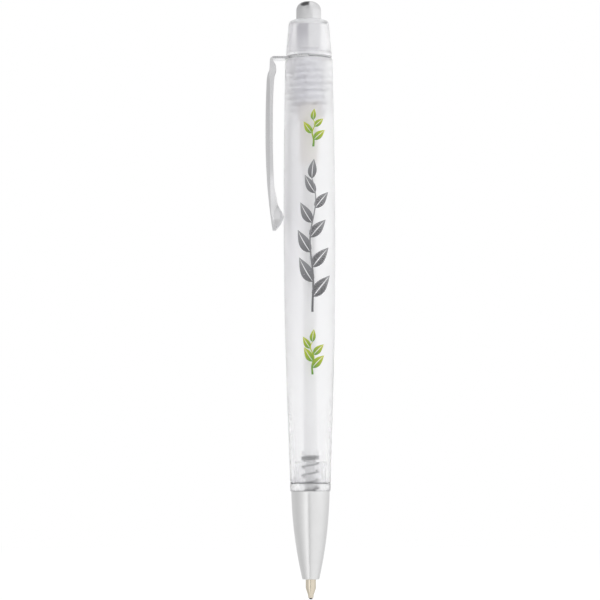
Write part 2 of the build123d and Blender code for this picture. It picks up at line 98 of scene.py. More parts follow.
scene = bpy.context.scene
camera_data = bpy.data.cameras.new("camera")
camera_data.sensor_width = SENSOR / MM
camera_data.lens = SENSOR / MM * CAMERA_DISTANCE / FRAME_HEIGHT
camera = bpy.data.objects.new("camera", camera_data)
scene.collection.objects.link(camera)
aim = Vector((AXIS_OFFSET, 0, (button_top / 2 - AIM_DROP) * MM))
away = Vector((0, -math.cos(CAMERA_ELEVATION), math.sin(CAMERA_ELEVATION)))
camera.location = aim + away * CAMERA_DISTANCE
facing = (-away).to_track_quat("-Z", "Y") @ Quaternion((0, 0, 1), -CAMERA_ROLL)
camera.rotation_euler = facing.to_euler()
scene.camera = camera
print(f"lens {camera_data.lens:.0f} mm, camera {camera.location.z / MM:.0f} mm above the tip's level")

# %% [markdown]
# Light that crosses a hollow pen passes many walls, and each face takes a bounce. With Blender's usual
# limit those paths would end early and leave grey patches, so the limit is higher here. Filter Glossy,
# which blurs reflections to save time, is off, because it would also blur what shows through the walls.

# %% Bounces of light
CLEAR_BOUNCES = 40

scene.view_settings.view_transform = "Standard"
for kind in ("max", "transmission", "glossy", "diffuse"):
    setattr(scene.cycles, f"{kind}_bounces", CLEAR_BOUNCES)
scene.cycles.blur_glossy = 0.0
print("light may bounce", scene.cycles.max_bounces, "times")

# %% [markdown]
# Shaders and geometry trees are both made of nodes, and sums written as nodes are hard to read. A small
# class wraps one socket, so that ordinary arithmetic on it adds the Math nodes. Its one method for any
# other node sets the node's settings first and then its sockets, with a number, a colour or another
# wrapped socket.

# %% Sockets that can be added and multiplied
class Wire:
    """An output socket of a node tree, or the bare tree to start from."""

    def __init__(self, tree, output=None):
        self.tree = tree
        self.output = output

    def node(self, kind, settings=None, inputs=None, output=0):
        """Add a node, set it up and return one of its outputs."""
        made = self.tree.nodes.new(kind)
        for name, value in (settings or {}).items():
            if name == "stops":
                self.fill_ramp(made.color_ramp, value)
            else:
                setattr(made, name, value)
        for key, value in (inputs or {}).items():
            if isinstance(value, Wire):
                self.tree.links.new(value.output, made.inputs[key])
            else:
                made.inputs[key].default_value = value
        return Wire(self.tree, made.outputs[output] if made.outputs else made)

    def fill_ramp(self, ramp, stops):
        """Give a colour ramp its stops, a list of (place, colour)."""
        while len(ramp.elements) < len(stops):
            ramp.elements.new(1.0)
        for element, (place, colour) in zip(ramp.elements, stops):
            element.position = place
            element.color = colour

    def math(self, operation, *others):
        """A Math node whose first value is this socket."""
        return self.node("ShaderNodeMath", {"operation": operation}, dict(enumerate((self, *others))))

    def __add__(self, other):
        return self.math("ADD", other)

    def __sub__(self, other):
        return self.math("SUBTRACT", other)

    def __rsub__(self, other):
        return self * -1.0 + other

    def __mul__(self, other):
        return self.math("MULTIPLY", other)

    def __truediv__(self, other):
        return self.math("DIVIDE", other)

    __radd__ = __add__
    __rmul__ = __mul__


print("a wrapped socket can be added, taken away, multiplied and divided")

# %% [markdown]
# Every finish starts the same way: a new material, one Principled shader, and its place on the piece read
# from Object coordinates, which stay with the piece when it moves. These short functions add the nodes
# that the finishes share, so that each finish below reads as a list of what makes it look as it does.

# %% Nodes that the finishes share
def new_finish(name):
    """A material with an empty tree, and the wrapped tree."""
    material = bpy.data.materials.new(name)
    material.use_nodes = True
    material.node_tree.nodes.clear()
    return material, Wire(material.node_tree)


def close_finish(root, surface):
    """Send a shader to the material's output."""
    root.node("ShaderNodeOutputMaterial", {}, {"Surface": surface})


def place(root):
    """Object coordinates, and their three parts in metres."""
    spot = root.node("ShaderNodeTexCoord", output="Object")
    parts = [root.node("ShaderNodeSeparateXYZ", {}, {0: spot}, axis) for axis in range(3)]
    return spot, parts


def attribute(root, name):
    """A number that the mesh carries on its points."""
    return root.node("ShaderNodeAttribute", {"attribute_name": name}, output="Fac")


def noise(root, vector, scale, detail=3.0):
    """Plain noise from 0 to 1."""
    inputs = {"Vector": vector, "Scale": scale, "Detail": detail}
    return root.node("ShaderNodeTexNoise", {"normalize": True}, inputs, "Fac")


def stretched(root, spot, stretch):
    """Coordinates that are pulled along the axes, for marks that run one way."""
    return root.node("ShaderNodeVectorMath", {"operation": "MULTIPLY"}, {0: spot, 1: stretch})


def vector_length(root, vector):
    """The length of a vector."""
    return root.node("ShaderNodeVectorMath", {"operation": "LENGTH"}, {0: vector}, "Value")


def ramped(root, value, low, high):
    """0 below the low value, 1 above the high one, and a straight rise between them."""
    return root.node("ShaderNodeMapRange", {"clamp": True}, {0: value, 1: low, 2: high})


def blended(root, factor, first, second):
    """A colour that goes from the first to the second with the factor."""
    settings = {"data_type": "RGBA", "clamp_factor": True}
    inputs = {"Factor": factor, 6: first, 7: second}
    return root.node("ShaderNodeMix", settings, inputs, 2)


def bumped(root, height, distance, strength=1.0):
    """A normal that leans as a small relief of this height would."""
    inputs = {"Height": height, "Distance": distance, "Strength": strength}
    return root.node("ShaderNodeBump", {}, inputs, "Normal")


def shine(root, **inputs):
    """A Principled shader; double underscores in a name stand for spaces."""
    sockets = {name.replace("__", " "): value for name, value in inputs.items()}
    return root.node("ShaderNodeBsdfPrincipled", {}, sockets, "BSDF")


print("finishes start from", new_finish.__name__, "and end with", close_finish.__name__)

# %% [markdown]
# The barrel is moulded in a see-through plastic, with a fine spark-eroded grain outside and a smooth wall
# inside. Light passes but is scattered, so near things show and far things blur. One rough glass would
# look too even, so very fine noise changes the roughness from point to point. The foot of the barrel is
# clearer, and the spring shows there. The mesh marks which points are outside, and where painted shade
# greys a ridge or draws a dark line at a joint.

# %% Frosted plastic
CLEAR_TINT = (0.985, 0.985, 0.99)
CLOUD_SCALE = 220.0
CLOUD_SHADE = 0.985
GRAIN_SCALE = 9000.0
SPECK_SCALE = 60000.0
SPECK_ROUGHNESS = 0.12
POLISHED = 0.06
PLASTIC_IOR = 1.45
FOOT_CLEAR = 31.0
FOOT_FROSTED = 60.0
# Painted shade: the thread's crest is darkened so that its bands show through the wall.
PAINTED_RIDGE_SHADE = (0.72, 0.72, 0.74, 1)
# Painted shade: the dark lines painted where the clear pieces meet.
PAINTED_SEAM_SHADE = (0.02, 0.02, 0.022, 1)


def painted_rim_shade(root, spot, height, colour, shaded_rims):
    """Paint shade into a colour at each rim of (level, reach, inner radius): a dark line where parts meet."""
    radius = vector_length(root, stretched(root, spot, (1, 1, 0)))
    for level, reach, inner in shaded_rims:
        distance = (height - level * MM).math("ABSOLUTE")
        near = (1 - distance / (reach * MM)).math("MAXIMUM", 0.0)
        colour = blended(root, near * radius.math("GREATER_THAN", inner * MM), colour, PAINTED_SEAM_SHADE)
    return colour


def frosted_plastic(name, transmission, roughness, grain, shaded_rims=(), foot_roughness=None):
    """A moulded clear plastic, frosted outside and polished inside."""
    material, root = new_finish(name)
    spot, (_, _, height) = place(root)
    duller = tuple(part * CLOUD_SHADE for part in CLEAR_TINT)
    colour = blended(root, noise(root, spot, CLOUD_SCALE), (*duller, 1), (*CLEAR_TINT, 1))
    colour = painted_rim_shade(root, spot, height, colour, shaded_rims)
    # Painted shade from the marks on the mesh: a greyer thread crest and a dark line at the collar's foot.
    for mark, shade in (("ridge", PAINTED_RIDGE_SHADE), ("seam", PAINTED_SEAM_SHADE)):
        colour = blended(root, attribute(root, mark), colour, shade)
    speck = noise(root, spot, SPECK_SCALE, 1.0)
    frost = speck * SPECK_ROUGHNESS + (roughness - POLISHED - SPECK_ROUGHNESS / 2)
    if foot_roughness:
        up = ramped(root, height, FOOT_CLEAR * MM, FOOT_FROSTED * MM)
        frost = frost - (1 - up) * (roughness - foot_roughness)
    outside = attribute(root, "outside")
    relief = noise(root, spot, GRAIN_SCALE, 1.0) * outside
    surface = shine(
        root,
        Base__Color=colour,
        Roughness=POLISHED + outside * frost,
        Normal=bumped(root, relief, grain * MM),
        Transmission__Weight=transmission,
        IOR=PLASTIC_IOR,
    )
    close_finish(root, surface)
    return material


print(f"the barrel clears below {FOOT_FROSTED} mm and is clearest at {FOOT_CLEAR} mm")

# %% [markdown]
# Three pieces are moulded in that plastic. They differ in how much light they let through and how rough
# they are. Both cut ends of the barrel get a dark line of painted shade at their rims.

# %% The three clear mouldings
# Painted shade at both ends of the barrel: level, reach and inner radius of each dark rim.
END_RIM_SHADE = (barrel_end, 0.4, 4.25)
MOUTH_RIM_SHADE = (barrel_top, 0.12, 5.25)

barrel_finish = frosted_plastic(
    "frosted_barrel",
    transmission=0.96,
    roughness=0.34,
    grain=0.0008,
    shaded_rims=[END_RIM_SHADE, MOUTH_RIM_SHADE],
    foot_roughness=0.23,
)
collar_finish = frosted_plastic("clear_collar", transmission=0.98, roughness=0.285, grain=0.0003)
band_finish = frosted_plastic("clear_band", transmission=0.94, roughness=0.28, grain=0.0003)
print("plastics:", barrel_finish.name, collar_finish.name, band_finish.name)

# %% [markdown]
# The metal pieces differ in how they were finished. The nose and the button are turned and satin plated,
# with faint rings round the axis; the clip is stamped and brushed along its length; the spring is drawn
# wire; the writing tip is turned from a yellow alloy. One function makes them all from the direction of
# their marks.

# %% Satin and turned metals
ROUND_MARKS = (60.0, 60.0, 9000.0)
LONG_MARKS = (5000.0, 5000.0, 60.0)
WIRE_MARKS = (900.0, 900.0, 900.0)
BALL_MARKS = (2000.0, 2000.0, 2000.0)
MARK_STRENGTH = 0.6
MARK_ROUGHNESS = 0.08
PATCH_SCALE = 380.0
PATCH_ROUGHNESS = 0.05
MEAN_ROUGHNESS = 0.06
GREY_STAIN = (0.5, 0.5, 0.5)
BROWN_STAIN = (0.4, 0.32, 0.22)


def metal(name, colour, roughness, marks, depth, stain=GREY_STAIN, stain_share=0.15):
    """A metal with fine marks along one direction and a few duller patches."""
    material, root = new_finish(name)
    spot, _ = place(root)
    lines = noise(root, stretched(root, spot, marks), 1.0, 2.0)
    patches = noise(root, spot, PATCH_SCALE)
    uneven = lines * MARK_ROUGHNESS + patches * PATCH_ROUGHNESS
    surface = shine(
        root,
        Base__Color=blended(root, patches * stain_share, (*colour, 1), (*stain, 1)),
        Metallic=1.0,
        Roughness=uneven + (roughness - MEAN_ROUGHNESS),
        Normal=bumped(root, lines, depth * MM, MARK_STRENGTH),
    )
    close_finish(root, surface)
    return material


SILVER = (0.92, 0.92, 0.92)
NICKEL = (0.78, 0.78, 0.79)
CLIP_STEEL = (0.74, 0.74, 0.75)
WIRE_STEEL = (0.41, 0.41, 0.42)
YELLOW_ALLOY = (0.9, 0.82, 0.68)
CARBIDE = (0.06, 0.06, 0.065)
nose_finish = metal("satin_nose", SILVER, roughness=0.3, marks=ROUND_MARKS, depth=0.0012)
button_finish = metal("plated_button", NICKEL, roughness=0.2, marks=ROUND_MARKS, depth=0.0006)
clip_finish = metal("brushed_clip", CLIP_STEEL, roughness=0.28, marks=LONG_MARKS, depth=0.0012)
spring_finish = metal("spring_wire", WIRE_STEEL, roughness=0.3, marks=WIRE_MARKS, depth=0.001)
tip_finish = metal("yellow_tip", YELLOW_ALLOY, 0.15, ROUND_MARKS, 0.0015, stain=BROWN_STAIN, stain_share=0.3)
ball_finish = metal("carbide_ball", CARBIDE, roughness=0.18, marks=BALL_MARKS, depth=0.0005)
print("metals:", nose_finish.name, button_finish.name, clip_finish.name, tip_finish.name)

# %% [markdown]
# The pieces inside are plain mouldings that show only as soft shapes: a grey stem, a tan rotor, a white
# tube. Their CAD meshes are kept as they are. They get a slight mottling and a soft gloss, so that they
# hold up when the pen is taken apart.

# %% Plain mouldings
FLOW_SCALE = 900.0
FLOW_STRETCH = (1.0, 1.0, 0.25)
FLOW_ROUGHNESS = 0.12
FLOW_RELIEF = 0.003


def moulding(name, colour, roughness, mottle, coat=0.0):
    """An opaque plastic, grease or ink with a faint flow pattern along the axis."""
    material, root = new_finish(name)
    spot, _ = place(root)
    flow = noise(root, stretched(root, spot, FLOW_STRETCH), FLOW_SCALE)
    darker = tuple(part * (1 - mottle) for part in colour)
    surface = shine(
        root,
        Base__Color=blended(root, flow, (*darker, 1), (*colour, 1)),
        Roughness=flow * FLOW_ROUGHNESS + (roughness - FLOW_ROUGHNESS / 2),
        Normal=bumped(root, flow, FLOW_RELIEF * MM),
        Coat__Weight=coat,
    )
    close_finish(root, surface)
    return material


INNER_FINISHES = {
    "plunger_stem": moulding("grey_stem", (0.95, 0.95, 0.97), roughness=0.45, mottle=0.04),
    "cam_rotor": moulding("tan_rotor", (0.9, 0.87, 0.84), roughness=0.45, mottle=0.05),
    "ink_tube": moulding("white_tube", (0.97, 0.97, 0.97), roughness=0.4, mottle=0.02),
    "tip_holder": moulding("white_nozzle", (0.97, 0.97, 0.97), roughness=0.4, mottle=0.02),
    "ink_column": moulding("dark_ink", (0.02, 0.03, 0.11), roughness=0.2, mottle=0.2, coat=0.5),
    "ink_follower": moulding("grease_plug", (0.8, 0.72, 0.48), roughness=0.3, mottle=0.15),
    "tip_ball": ball_finish,
}
for node_name, finish in INNER_FINISHES.items():
    nodes[node_name].data.materials.clear()
    nodes[node_name].data.materials.append(finish)
print("inner pieces:", ", ".join(INNER_FINISHES))

# %% [markdown]
# Most of a pen is round, so its pieces are drawn as outlines of radius and height in millimetres. Long
# swelling stretches run smoothly through a few measured radii. Corners carry a small rounding of their
# own, because real edges catch a thin line of light and a sharp edge never does.

# %% Outlines
CORNER_STEPS = 5


def smooth_through(keys, steps):
    """Points on a smooth curve through keys of (radius, height), with steady slopes at each key."""
    slopes = []
    for index in range(len(keys)):
        before = keys[max(index - 1, 0)]
        after = keys[min(index + 1, len(keys) - 1)]
        slopes.append((after[0] - before[0]) / (after[1] - before[1]))
    points = []
    for (start, end), (leave, arrive) in zip(zip(keys, keys[1:]), zip(slopes, slopes[1:])):
        rise = end[1] - start[1]
        for step in range(steps):
            t = step / steps
            ease = t * t * (3 - 2 * t)
            bend = leave * rise * t * (1 - t) ** 2 - arrive * rise * t * t * (1 - t)
            points.append((start[0] + (end[0] - start[0]) * ease + bend, start[1] + rise * t))
    points.append(keys[-1])
    return points


def rounded(corners):
    """Points of a closed outline from corners of (radius, height) or (radius, height, rounding)."""
    points = []
    for index, corner in enumerate(corners):
        here = Vector(corner[:2])
        if len(corner) < 3:
            points.append(tuple(here))
            continue
        before = Vector(corners[index - 1][:2])
        after = Vector(corners[(index + 1) % len(corners)][:2])
        start = here + (before - here).normalized() * corner[2]
        end = here + (after - here).normalized() * corner[2]
        for step in range(CORNER_STEPS + 1):
            t = step / CORNER_STEPS
            points.append(tuple(start * (1 - t) ** 2 + here * 2 * t * (1 - t) + end * t * t))
    return points


print("a rounded corner has", CORNER_STEPS + 1, "points")

# %% [markdown]
# A lathe turns the work once round its axis, and so does this function: every point of the outline
# becomes a ring. Blender's Screw modifier could do that too, but here an optional rule may change the
# radius with the angle, which a thread needs. A point on the axis becomes a single vertex, so that poles
# are closed.

# %% Turning an outline round the axis
SIDES = 128
TINY = 1e-6


def turn(mesh, outline, rule=None):
    """Add an outline of (radius, height) points in millimetres, turned round the axis, to a bmesh."""
    rings = []
    for radius, height in outline:
        if radius < TINY:
            rings.append([mesh.verts.new((0, 0, height * MM))] * SIDES)
            continue
        ring = []
        for side in range(SIDES):
            angle = 2 * math.pi * side / SIDES
            reach = (rule(angle, radius, height) if rule else radius) * MM
            ring.append(mesh.verts.new((reach * math.cos(angle), reach * math.sin(angle), height * MM)))
        rings.append(ring)
    pairs = list(zip(rings, rings[1:]))
    if outline[0][0] > TINY:
        pairs.append((rings[-1], rings[0]))
    for lower, upper in pairs:
        for side in range(SIDES):
            after = (side + 1) % SIDES
            corners = [lower[side], lower[after], upper[after], upper[side]]
            mesh.faces.new(list(dict.fromkeys(corners)))
    return mesh


print("turned pieces have", SIDES, "sides")

# %% [markdown]
# A finished piece gets its material, the body that it rides on and the CAD nodes that it stands for. Its
# points also get marks for the finish: which of them lie outside and in sight, and whatever other rules
# are given.

# %% A finished piece
CREASE = math.radians(35)
EVERY_LEVEL = (0.0, 200.0)


def dress(piece, finish, body, replaced=()):
    """Give a piece its finish, its body and the CAD nodes that it stands for."""
    piece.data.materials.clear()
    piece.data.materials.append(finish)
    if body:
        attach(piece, body)
    if replaced:
        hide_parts(*replaced)
    print(f"{piece.name}: {len(piece.data.polygons)} faces")
    return piece


def new_piece(name, mesh, finish, body, replaced=(), shown=EVERY_LEVEL, marks=None):
    """Turn a bmesh into a finished piece that rides on a body; outward points that are shown get a mark."""
    bmesh.ops.recalc_face_normals(mesh, faces=mesh.faces)
    mesh.normal_update()
    mark = mesh.verts.layers.float.new("outside")
    for vertex in mesh.verts:
        outward = vertex.normal.xy.dot(vertex.co.xy) > 0
        vertex[mark] = float(outward and shown[0] <= vertex.co.z / MM <= shown[1])
    for label, rule in (marks or {}).items():
        layer = mesh.verts.layers.float.new(label)
        for vertex in mesh.verts:
            vertex[layer] = rule(vertex.co / MM)
    data = bpy.data.meshes.new(name)
    mesh.to_mesh(data)
    mesh.free()
    data.shade_smooth()
    data.set_sharp_from_angle(angle=CREASE)
    piece = bpy.data.objects.new(name, data)
    scene.collection.objects.link(piece)
    return dress(piece, finish, body, replaced)


print("pieces crease at", round(math.degrees(CREASE)), "degrees")

# %% [markdown]
# The collar screws into the barrel, and the thread shows through the frosted wall as soft bands, helped
# by painted shade on its crest. A thread is a rule: at each height and angle, the distance to the nearest
# turn of the helix says how far the ridge stands out. Written as a rule, it needs no cutting and leaves a
# clean mesh.

# %% The thread's rule
THREAD_PITCH = 1.57
THREAD_ROUND = 0.36
THREAD_TURNS = 7
THREAD_START = 1.2
THREAD_PATH_R = 4.04
THREAD_STEP = 0.11
thread_head = barrel_top - THREAD_START
thread_foot = barrel_top - THREAD_START - THREAD_TURNS * THREAD_PITCH


def turns_up(angle, height):
    """Turns of the helix from the thread's foot to a point; a whole number is on a crest."""
    return (height - thread_foot) / THREAD_PITCH - angle / (2 * math.pi)


def ridge_radius(angle, radius, height):
    """The wall's radius with the helical ridge on it, which fades out over a turn at both ends."""
    turns = turns_up(angle, height)
    off_crest = (turns - round(turns)) * THREAD_PITCH
    risen = (height - thread_foot) / THREAD_PITCH + 0.5
    left = (thread_head - height) / THREAD_PITCH + 0.5
    fade = min(1.0, max(0.0, risen), max(0.0, left))
    if abs(off_crest) >= THREAD_ROUND or fade <= 0:
        return radius
    ridge = THREAD_PATH_R + math.sqrt(THREAD_ROUND**2 - off_crest**2)
    return max(radius, radius + (ridge - radius) * fade)


def rows(radius, low, high, step):
    """Outline points up a straight wall, close enough for the thread."""
    count = math.ceil((high - low) / step)
    return [(radius, low + (high - low) * row / count) for row in range(count + 1)]


print(f"thread of {THREAD_TURNS} turns from {thread_foot:.2f} to {thread_head:.2f} mm")

# %% [markdown]
# The barrel swells gently from the collar to the belly, where the clip touches it, and narrows towards
# the nose. Mesh code suits it best, since the whole shape is one outline and one rule. Its mouth is bored
# clear of the thread and follows it with a faint wave only: a deep groove would bend the light into dark
# smudges.

# %% Barrel
BARREL_KEYS = [(5.57, barrel_top), (5.92, 104.0), (6.03, 89.15)]
BARREL_KEYS += [(6.0, 80.0), (5.75, 60.05), (4.72, barrel_end)]
BARREL_STEPS = 14
BORE_R = 4.55
BORE_LOW = 60.05
END_BORE_R = 3.72
MOUTH_R = 4.2
MOUTH_SLOPE = 3.0
THREAD_CLEARANCE = 0.05
GROOVE_WAVE = 0.12
groove_depth = THREAD_PATH_R + THREAD_ROUND + THREAD_CLEARANCE - MOUTH_R

outer = smooth_through(BARREL_KEYS, BARREL_STEPS)
corners = [(*outer[0], 0.3), *outer[1:-1], (*outer[-1], 0.28)]
corners += [(END_BORE_R, barrel_end, 0.2), (END_BORE_R, coupling_top), (BORE_R, BORE_LOW)]
corners += [(BORE_R, spigot_end - MOUTH_SLOPE)]
corners += rows(MOUTH_R, spigot_end, barrel_top, THREAD_STEP)


def groove_in_mouth(angle, radius, height):
    """A soft groove round the thread, which fades in below it and runs out at the mouth."""
    if abs(radius - MOUTH_R) > TINY:
        return radius
    fade = min(1.0, max(0.0, (height - thread_foot) / THREAD_PITCH + 1))
    wave = GROOVE_WAVE * min(1.0, max(0.0, (thread_head - height) / (2 * THREAD_PITCH)))
    hollow = groove_depth - wave * (1 - math.cos(2 * math.pi * turns_up(angle, height))) / 2
    return radius + fade * hollow


barrel_mesh = turn(bmesh.new(), rounded(corners), groove_in_mouth)
barrel = new_piece("frosted_barrel", barrel_mesh, barrel_finish, "barrel", ["barrel"])

# %% [markdown]
# The collar is a thin clear cone over a hollow, so the button's skirt shows inside it. Below its floor it
# goes on as the threaded spigot. At its foot a thin lip laps over the clip's washer, except on the clip's
# side, where the lip is pushed up out of the way. One outline and a shift of a few points give both.

# %% Collar
SPIGOT_R = 4.05
SPIGOT_BORE_R = 3.4
BORE_CHAMFER = 0.15
LEAD_IN = 1.2
COLLAR_TOP_R = 4.64
COLLAR_BOTTOM_R = 5.4
COLLAR_WALL = 0.9
LIP_R = 5.2
LIP_ROUND = 0.08
LIP_LEVEL = barrel_top + 0.12
LIP_SIDE = -0.2
LIP_LEFT = 0.05
LIP_TAPER = 0.02
NECK_R = 3.07
NECK_LEVEL = barrel_top - 1.7
NECK_RISE = 1.4
FLOOR_LEVEL = clip_top + 0.85
NEAR = 0.01

corners = [(SPIGOT_BORE_R + BORE_CHAMFER, spigot_end)]
corners += rows(SPIGOT_R, spigot_end + LEAD_IN, barrel_top, THREAD_STEP)
corners += [(SPIGOT_R, clip_top), (LIP_R, clip_top), (LIP_R, LIP_LEVEL)]
corners += [(COLLAR_BOTTOM_R, LIP_LEVEL, LIP_ROUND)]
corners += [(COLLAR_BOTTOM_R, LIP_LEVEL + 2 * LIP_ROUND), (COLLAR_BOTTOM_R, clip_top)]
corners += [(COLLAR_BOTTOM_R - LIP_TAPER, clip_top + 2 * LIP_ROUND), (COLLAR_TOP_R, collar_top, 1.1)]
corners += [(NECK_R, collar_top, 0.2), (NECK_R, collar_top - COLLAR_WALL, 0.15)]
corners += [(COLLAR_TOP_R - COLLAR_WALL, collar_top - COLLAR_WALL, 0.5)]
corners += [(COLLAR_BOTTOM_R - COLLAR_WALL, FLOOR_LEVEL, 0.4), (NECK_R, FLOOR_LEVEL, 0.15)]
corners += [(NECK_R, NECK_LEVEL + NECK_RISE), (SPIGOT_BORE_R, NECK_LEVEL - NECK_RISE)]
corners += [(SPIGOT_BORE_R, spigot_end)]


def ridge_on_spigot(angle, radius, height):
    """The thread's ridge, on the spigot's wall only."""
    on_wall = abs(radius - SPIGOT_R) < TINY and height < barrel_top
    return ridge_radius(angle, radius, height) if on_wall else radius


collar_mesh = turn(bmesh.new(), rounded(corners), ridge_on_spigot)
for vertex in collar_mesh.verts:
    hung = clip_top - vertex.co.z / MM
    if vertex.co.xy.length / MM > LIP_R - NEAR and vertex.co.x / MM < LIP_SIDE and hung > 0:
        vertex.co.z = (clip_top - hung * LIP_LEFT) * MM
print("collar turned with", len(collar_mesh.verts), "points")

# %% [markdown]
# Three ribs in the spigot's bore guide the rotor and stop it; each is a bar with a sloping foot. Two
# rules mark points for painted shade: the thread's crest is painted greyer, and the edge of the lip gets a
# painted dark line where the collar meets the barrel.

# %% Ribs and marks of the collar
RIB_COUNT = 3
RIB_INNER_R = 2.75
RIB_WIDTH = 1.7
RIB_FOOT = 114.9
RIB_SLOPE = 1.78
THREAD_STAND = 0.25
# Painted shade of the dark line at the lip's edge.
PAINTED_LIP_SHADE = 0.6
EDGE_SLACK = 0.001


def add_rib(mesh, turn_angle):
    """One stop rib of the cam, from the neck down to its sloping foot."""
    slope = RIB_SLOPE * RIB_WIDTH / 2
    outline = [(-1, NECK_LEVEL), (1, NECK_LEVEL), (1, RIB_FOOT + slope), (-1, RIB_FOOT - slope)]
    out = Vector((math.cos(turn_angle), math.sin(turn_angle), 0))
    around = Vector((-math.sin(turn_angle), math.cos(turn_angle), 0)) * RIB_WIDTH / 2
    faces = []
    for reach in (RIB_INNER_R, SPIGOT_BORE_R):
        points = [out * reach + around * side + Vector((0, 0, level)) for side, level in outline]
        faces.append([mesh.verts.new(point * MM) for point in points])
    inner, backing = faces
    mesh.faces.new(inner)
    mesh.faces.new(backing)
    for index in range(4):
        after = (index + 1) % 4
        mesh.faces.new([inner[index], inner[after], backing[after], backing[index]])


# Painted shade: how much the thread's crest is darkened at a point.
def height_of_thread(spot):
    """0 in the thread's root, rising to 1 on its crest, and 0 away from the thread."""
    radius = spot.xy.length
    crest = THREAD_PATH_R + THREAD_ROUND + NEAR
    on_thread = SPIGOT_R < radius < crest and thread_foot < spot.z < thread_head
    return min(1.0, (radius - SPIGOT_R) / THREAD_STAND) if on_thread else 0.0


def lip_painted_shade(spot):
    """The share of painted shade for the dark line at the collar's foot, and 0 away from it."""
    edge = clip_top if spot.x < LIP_SIDE else LIP_LEVEL + LIP_ROUND
    on_edge = spot.xy.length > LIP_R - NEAR and barrel_top < spot.z < edge + EDGE_SLACK
    return PAINTED_LIP_SHADE if on_edge else 0.0


for rib in range(RIB_COUNT):
    add_rib(collar_mesh, 2 * math.pi * rib / RIB_COUNT)
new_piece(
    "clear_collar",
    collar_mesh,
    collar_finish,
    "barrel",
    ["top_collar"],
    shown=(clip_top, collar_top),
    marks={"ridge": height_of_thread, "seam": lip_painted_shade},
)

# %% [markdown]
# The coupling is a clear bush: only its band shows, between the barrel and the nose, and its two spigots
# reach into both. Its outline has straight stretches only, so a list of corners is enough.

# %% Coupling
COUPLING_R = 3.69
COUPLING_BORE_R = 2.69
BAND_R = 4.72
LOWER_SPIGOT_R = 3.57

corners = [(COUPLING_BORE_R, coupling_end, 0.15), (LOWER_SPIGOT_R, coupling_end, 0.25)]
corners += [(LOWER_SPIGOT_R, nose_top), (BAND_R, nose_top, 0.16), (BAND_R, barrel_end, 0.24)]
corners += [(COUPLING_R, barrel_end), (COUPLING_R, coupling_top, 0.25)]
corners += [(COUPLING_BORE_R, coupling_top, 0.15)]
new_piece(
    "clear_band",
    turn(bmesh.new(), rounded(corners)),
    band_finish,
    "barrel",
    ["nose_coupling"],
    shown=(nose_top, barrel_end),
)

# %% [markdown]
# The nose is a bullet in satin silver, with a socket for the coupling, a seat for the spring and a hole
# for the tip. Its side is a shallow arc: a straight cone would look thin, and a full ogive too round.

# %% Nose
NOSE_R = 4.5
NOSE_END_R = 1.97
NOSE_BULGE = 0.53
NOSE_STEPS = 40
SOCKET_R = 3.6
SOCKET_FLOOR = coupling_end - 0.15
SPRING_BORE_R = 2.3
SPRING_SEAT = spring_low - 0.05
TIP_HOLE_R = 1.28


def bulging(start, end, bulge, steps):
    """Points on a shallow arc that stands out from its chord by the bulge."""
    points = []
    for step in range(steps + 1):
        t = step / steps
        out = bulge * 4 * t * (1 - t)
        points.append((start[0] + (end[0] - start[0]) * t + out, start[1] + (end[1] - start[1]) * t))
    return points


wall = bulging((NOSE_R, nose_top), (NOSE_END_R, nose_end), NOSE_BULGE, NOSE_STEPS)
corners = [(*wall[0], 0.12), *wall[1:-1], (*wall[-1], 0.22), (TIP_HOLE_R, nose_end, 0.1)]
corners += [(TIP_HOLE_R, SPRING_SEAT), (SPRING_BORE_R, SPRING_SEAT), (SPRING_BORE_R, SOCKET_FLOOR)]
corners += [(SOCKET_R, SOCKET_FLOOR), (SOCKET_R, nose_top, 0.12)]
nose_mesh = turn(bmesh.new(), rounded(corners))
new_piece("satin_nose", nose_mesh, nose_finish, "barrel", ["nose_cone"])

# %% [markdown]
# The button is a drawn metal cap: a crown arc runs into a tighter arc at its edge, and the skirt hangs
# down over the stem. The two arcs share a tangent where they meet, so no line shows there in a
# reflection.

# %% Button
BUTTON_R = 2.92
BUTTON_BORE_R = 2.37
BUTTON_HEAD = 2.5
CROWN_R = 5.8
CROWN_STEPS = 8
EDGE_R = 2.1
EDGE_STEPS = 18


def arc(centre, radius, first, last, steps):
    """Points on an arc, with its angles in radians from the outward direction."""
    angles = [first + (last - first) * step / steps for step in range(steps + 1)]
    return [(centre[0] + radius * math.cos(a), centre[1] + radius * math.sin(a)) for a in angles]


meeting = math.acos((BUTTON_R - EDGE_R) / (CROWN_R - EDGE_R))
crown_level = button_top - CROWN_R
edge_centre = (BUTTON_R - EDGE_R, crown_level + (CROWN_R - EDGE_R) * math.sin(meeting))
dome = arc(edge_centre, EDGE_R, 0, meeting, EDGE_STEPS)
dome += arc((0, crown_level), CROWN_R, meeting, math.pi / 2, CROWN_STEPS)[1:-1]
skirt = rounded([(BUTTON_BORE_R, button_end, 0.1), (BUTTON_R, button_end, 0.22), dome[0]])
outline = [(0, button_top - BUTTON_HEAD), (BUTTON_BORE_R, button_top - BUTTON_HEAD)]
outline += [*skirt, *dome[1:], (0, button_top)]
button_mesh = turn(bmesh.new(), outline)
new_piece("plated_button", button_mesh, button_finish, "button", ["push_button"])

# %% [markdown]
# The writing tip is a small turned cone with the steps that a lathe leaves. The ball sits in a round
# seat, and the lip closes over it a little past its middle, so that it can roll but not fall out.

# %% Writing tip
TIP_R = 1.2
TIP_SHANK_R = 0.8
TIP_CHANNEL_R = 0.25
TIP_BACK = 6.0
TIP_SHOULDER = 2.6
TIP_NIB = 1.05
NIB_R = 0.66
NIB_STEP = 0.05
NIB_RISE = 0.12
RIM_R = 0.58
BALL_SEAT_R = 0.52
BALL_LEVEL = 0.5
SEAT_STEPS = 10

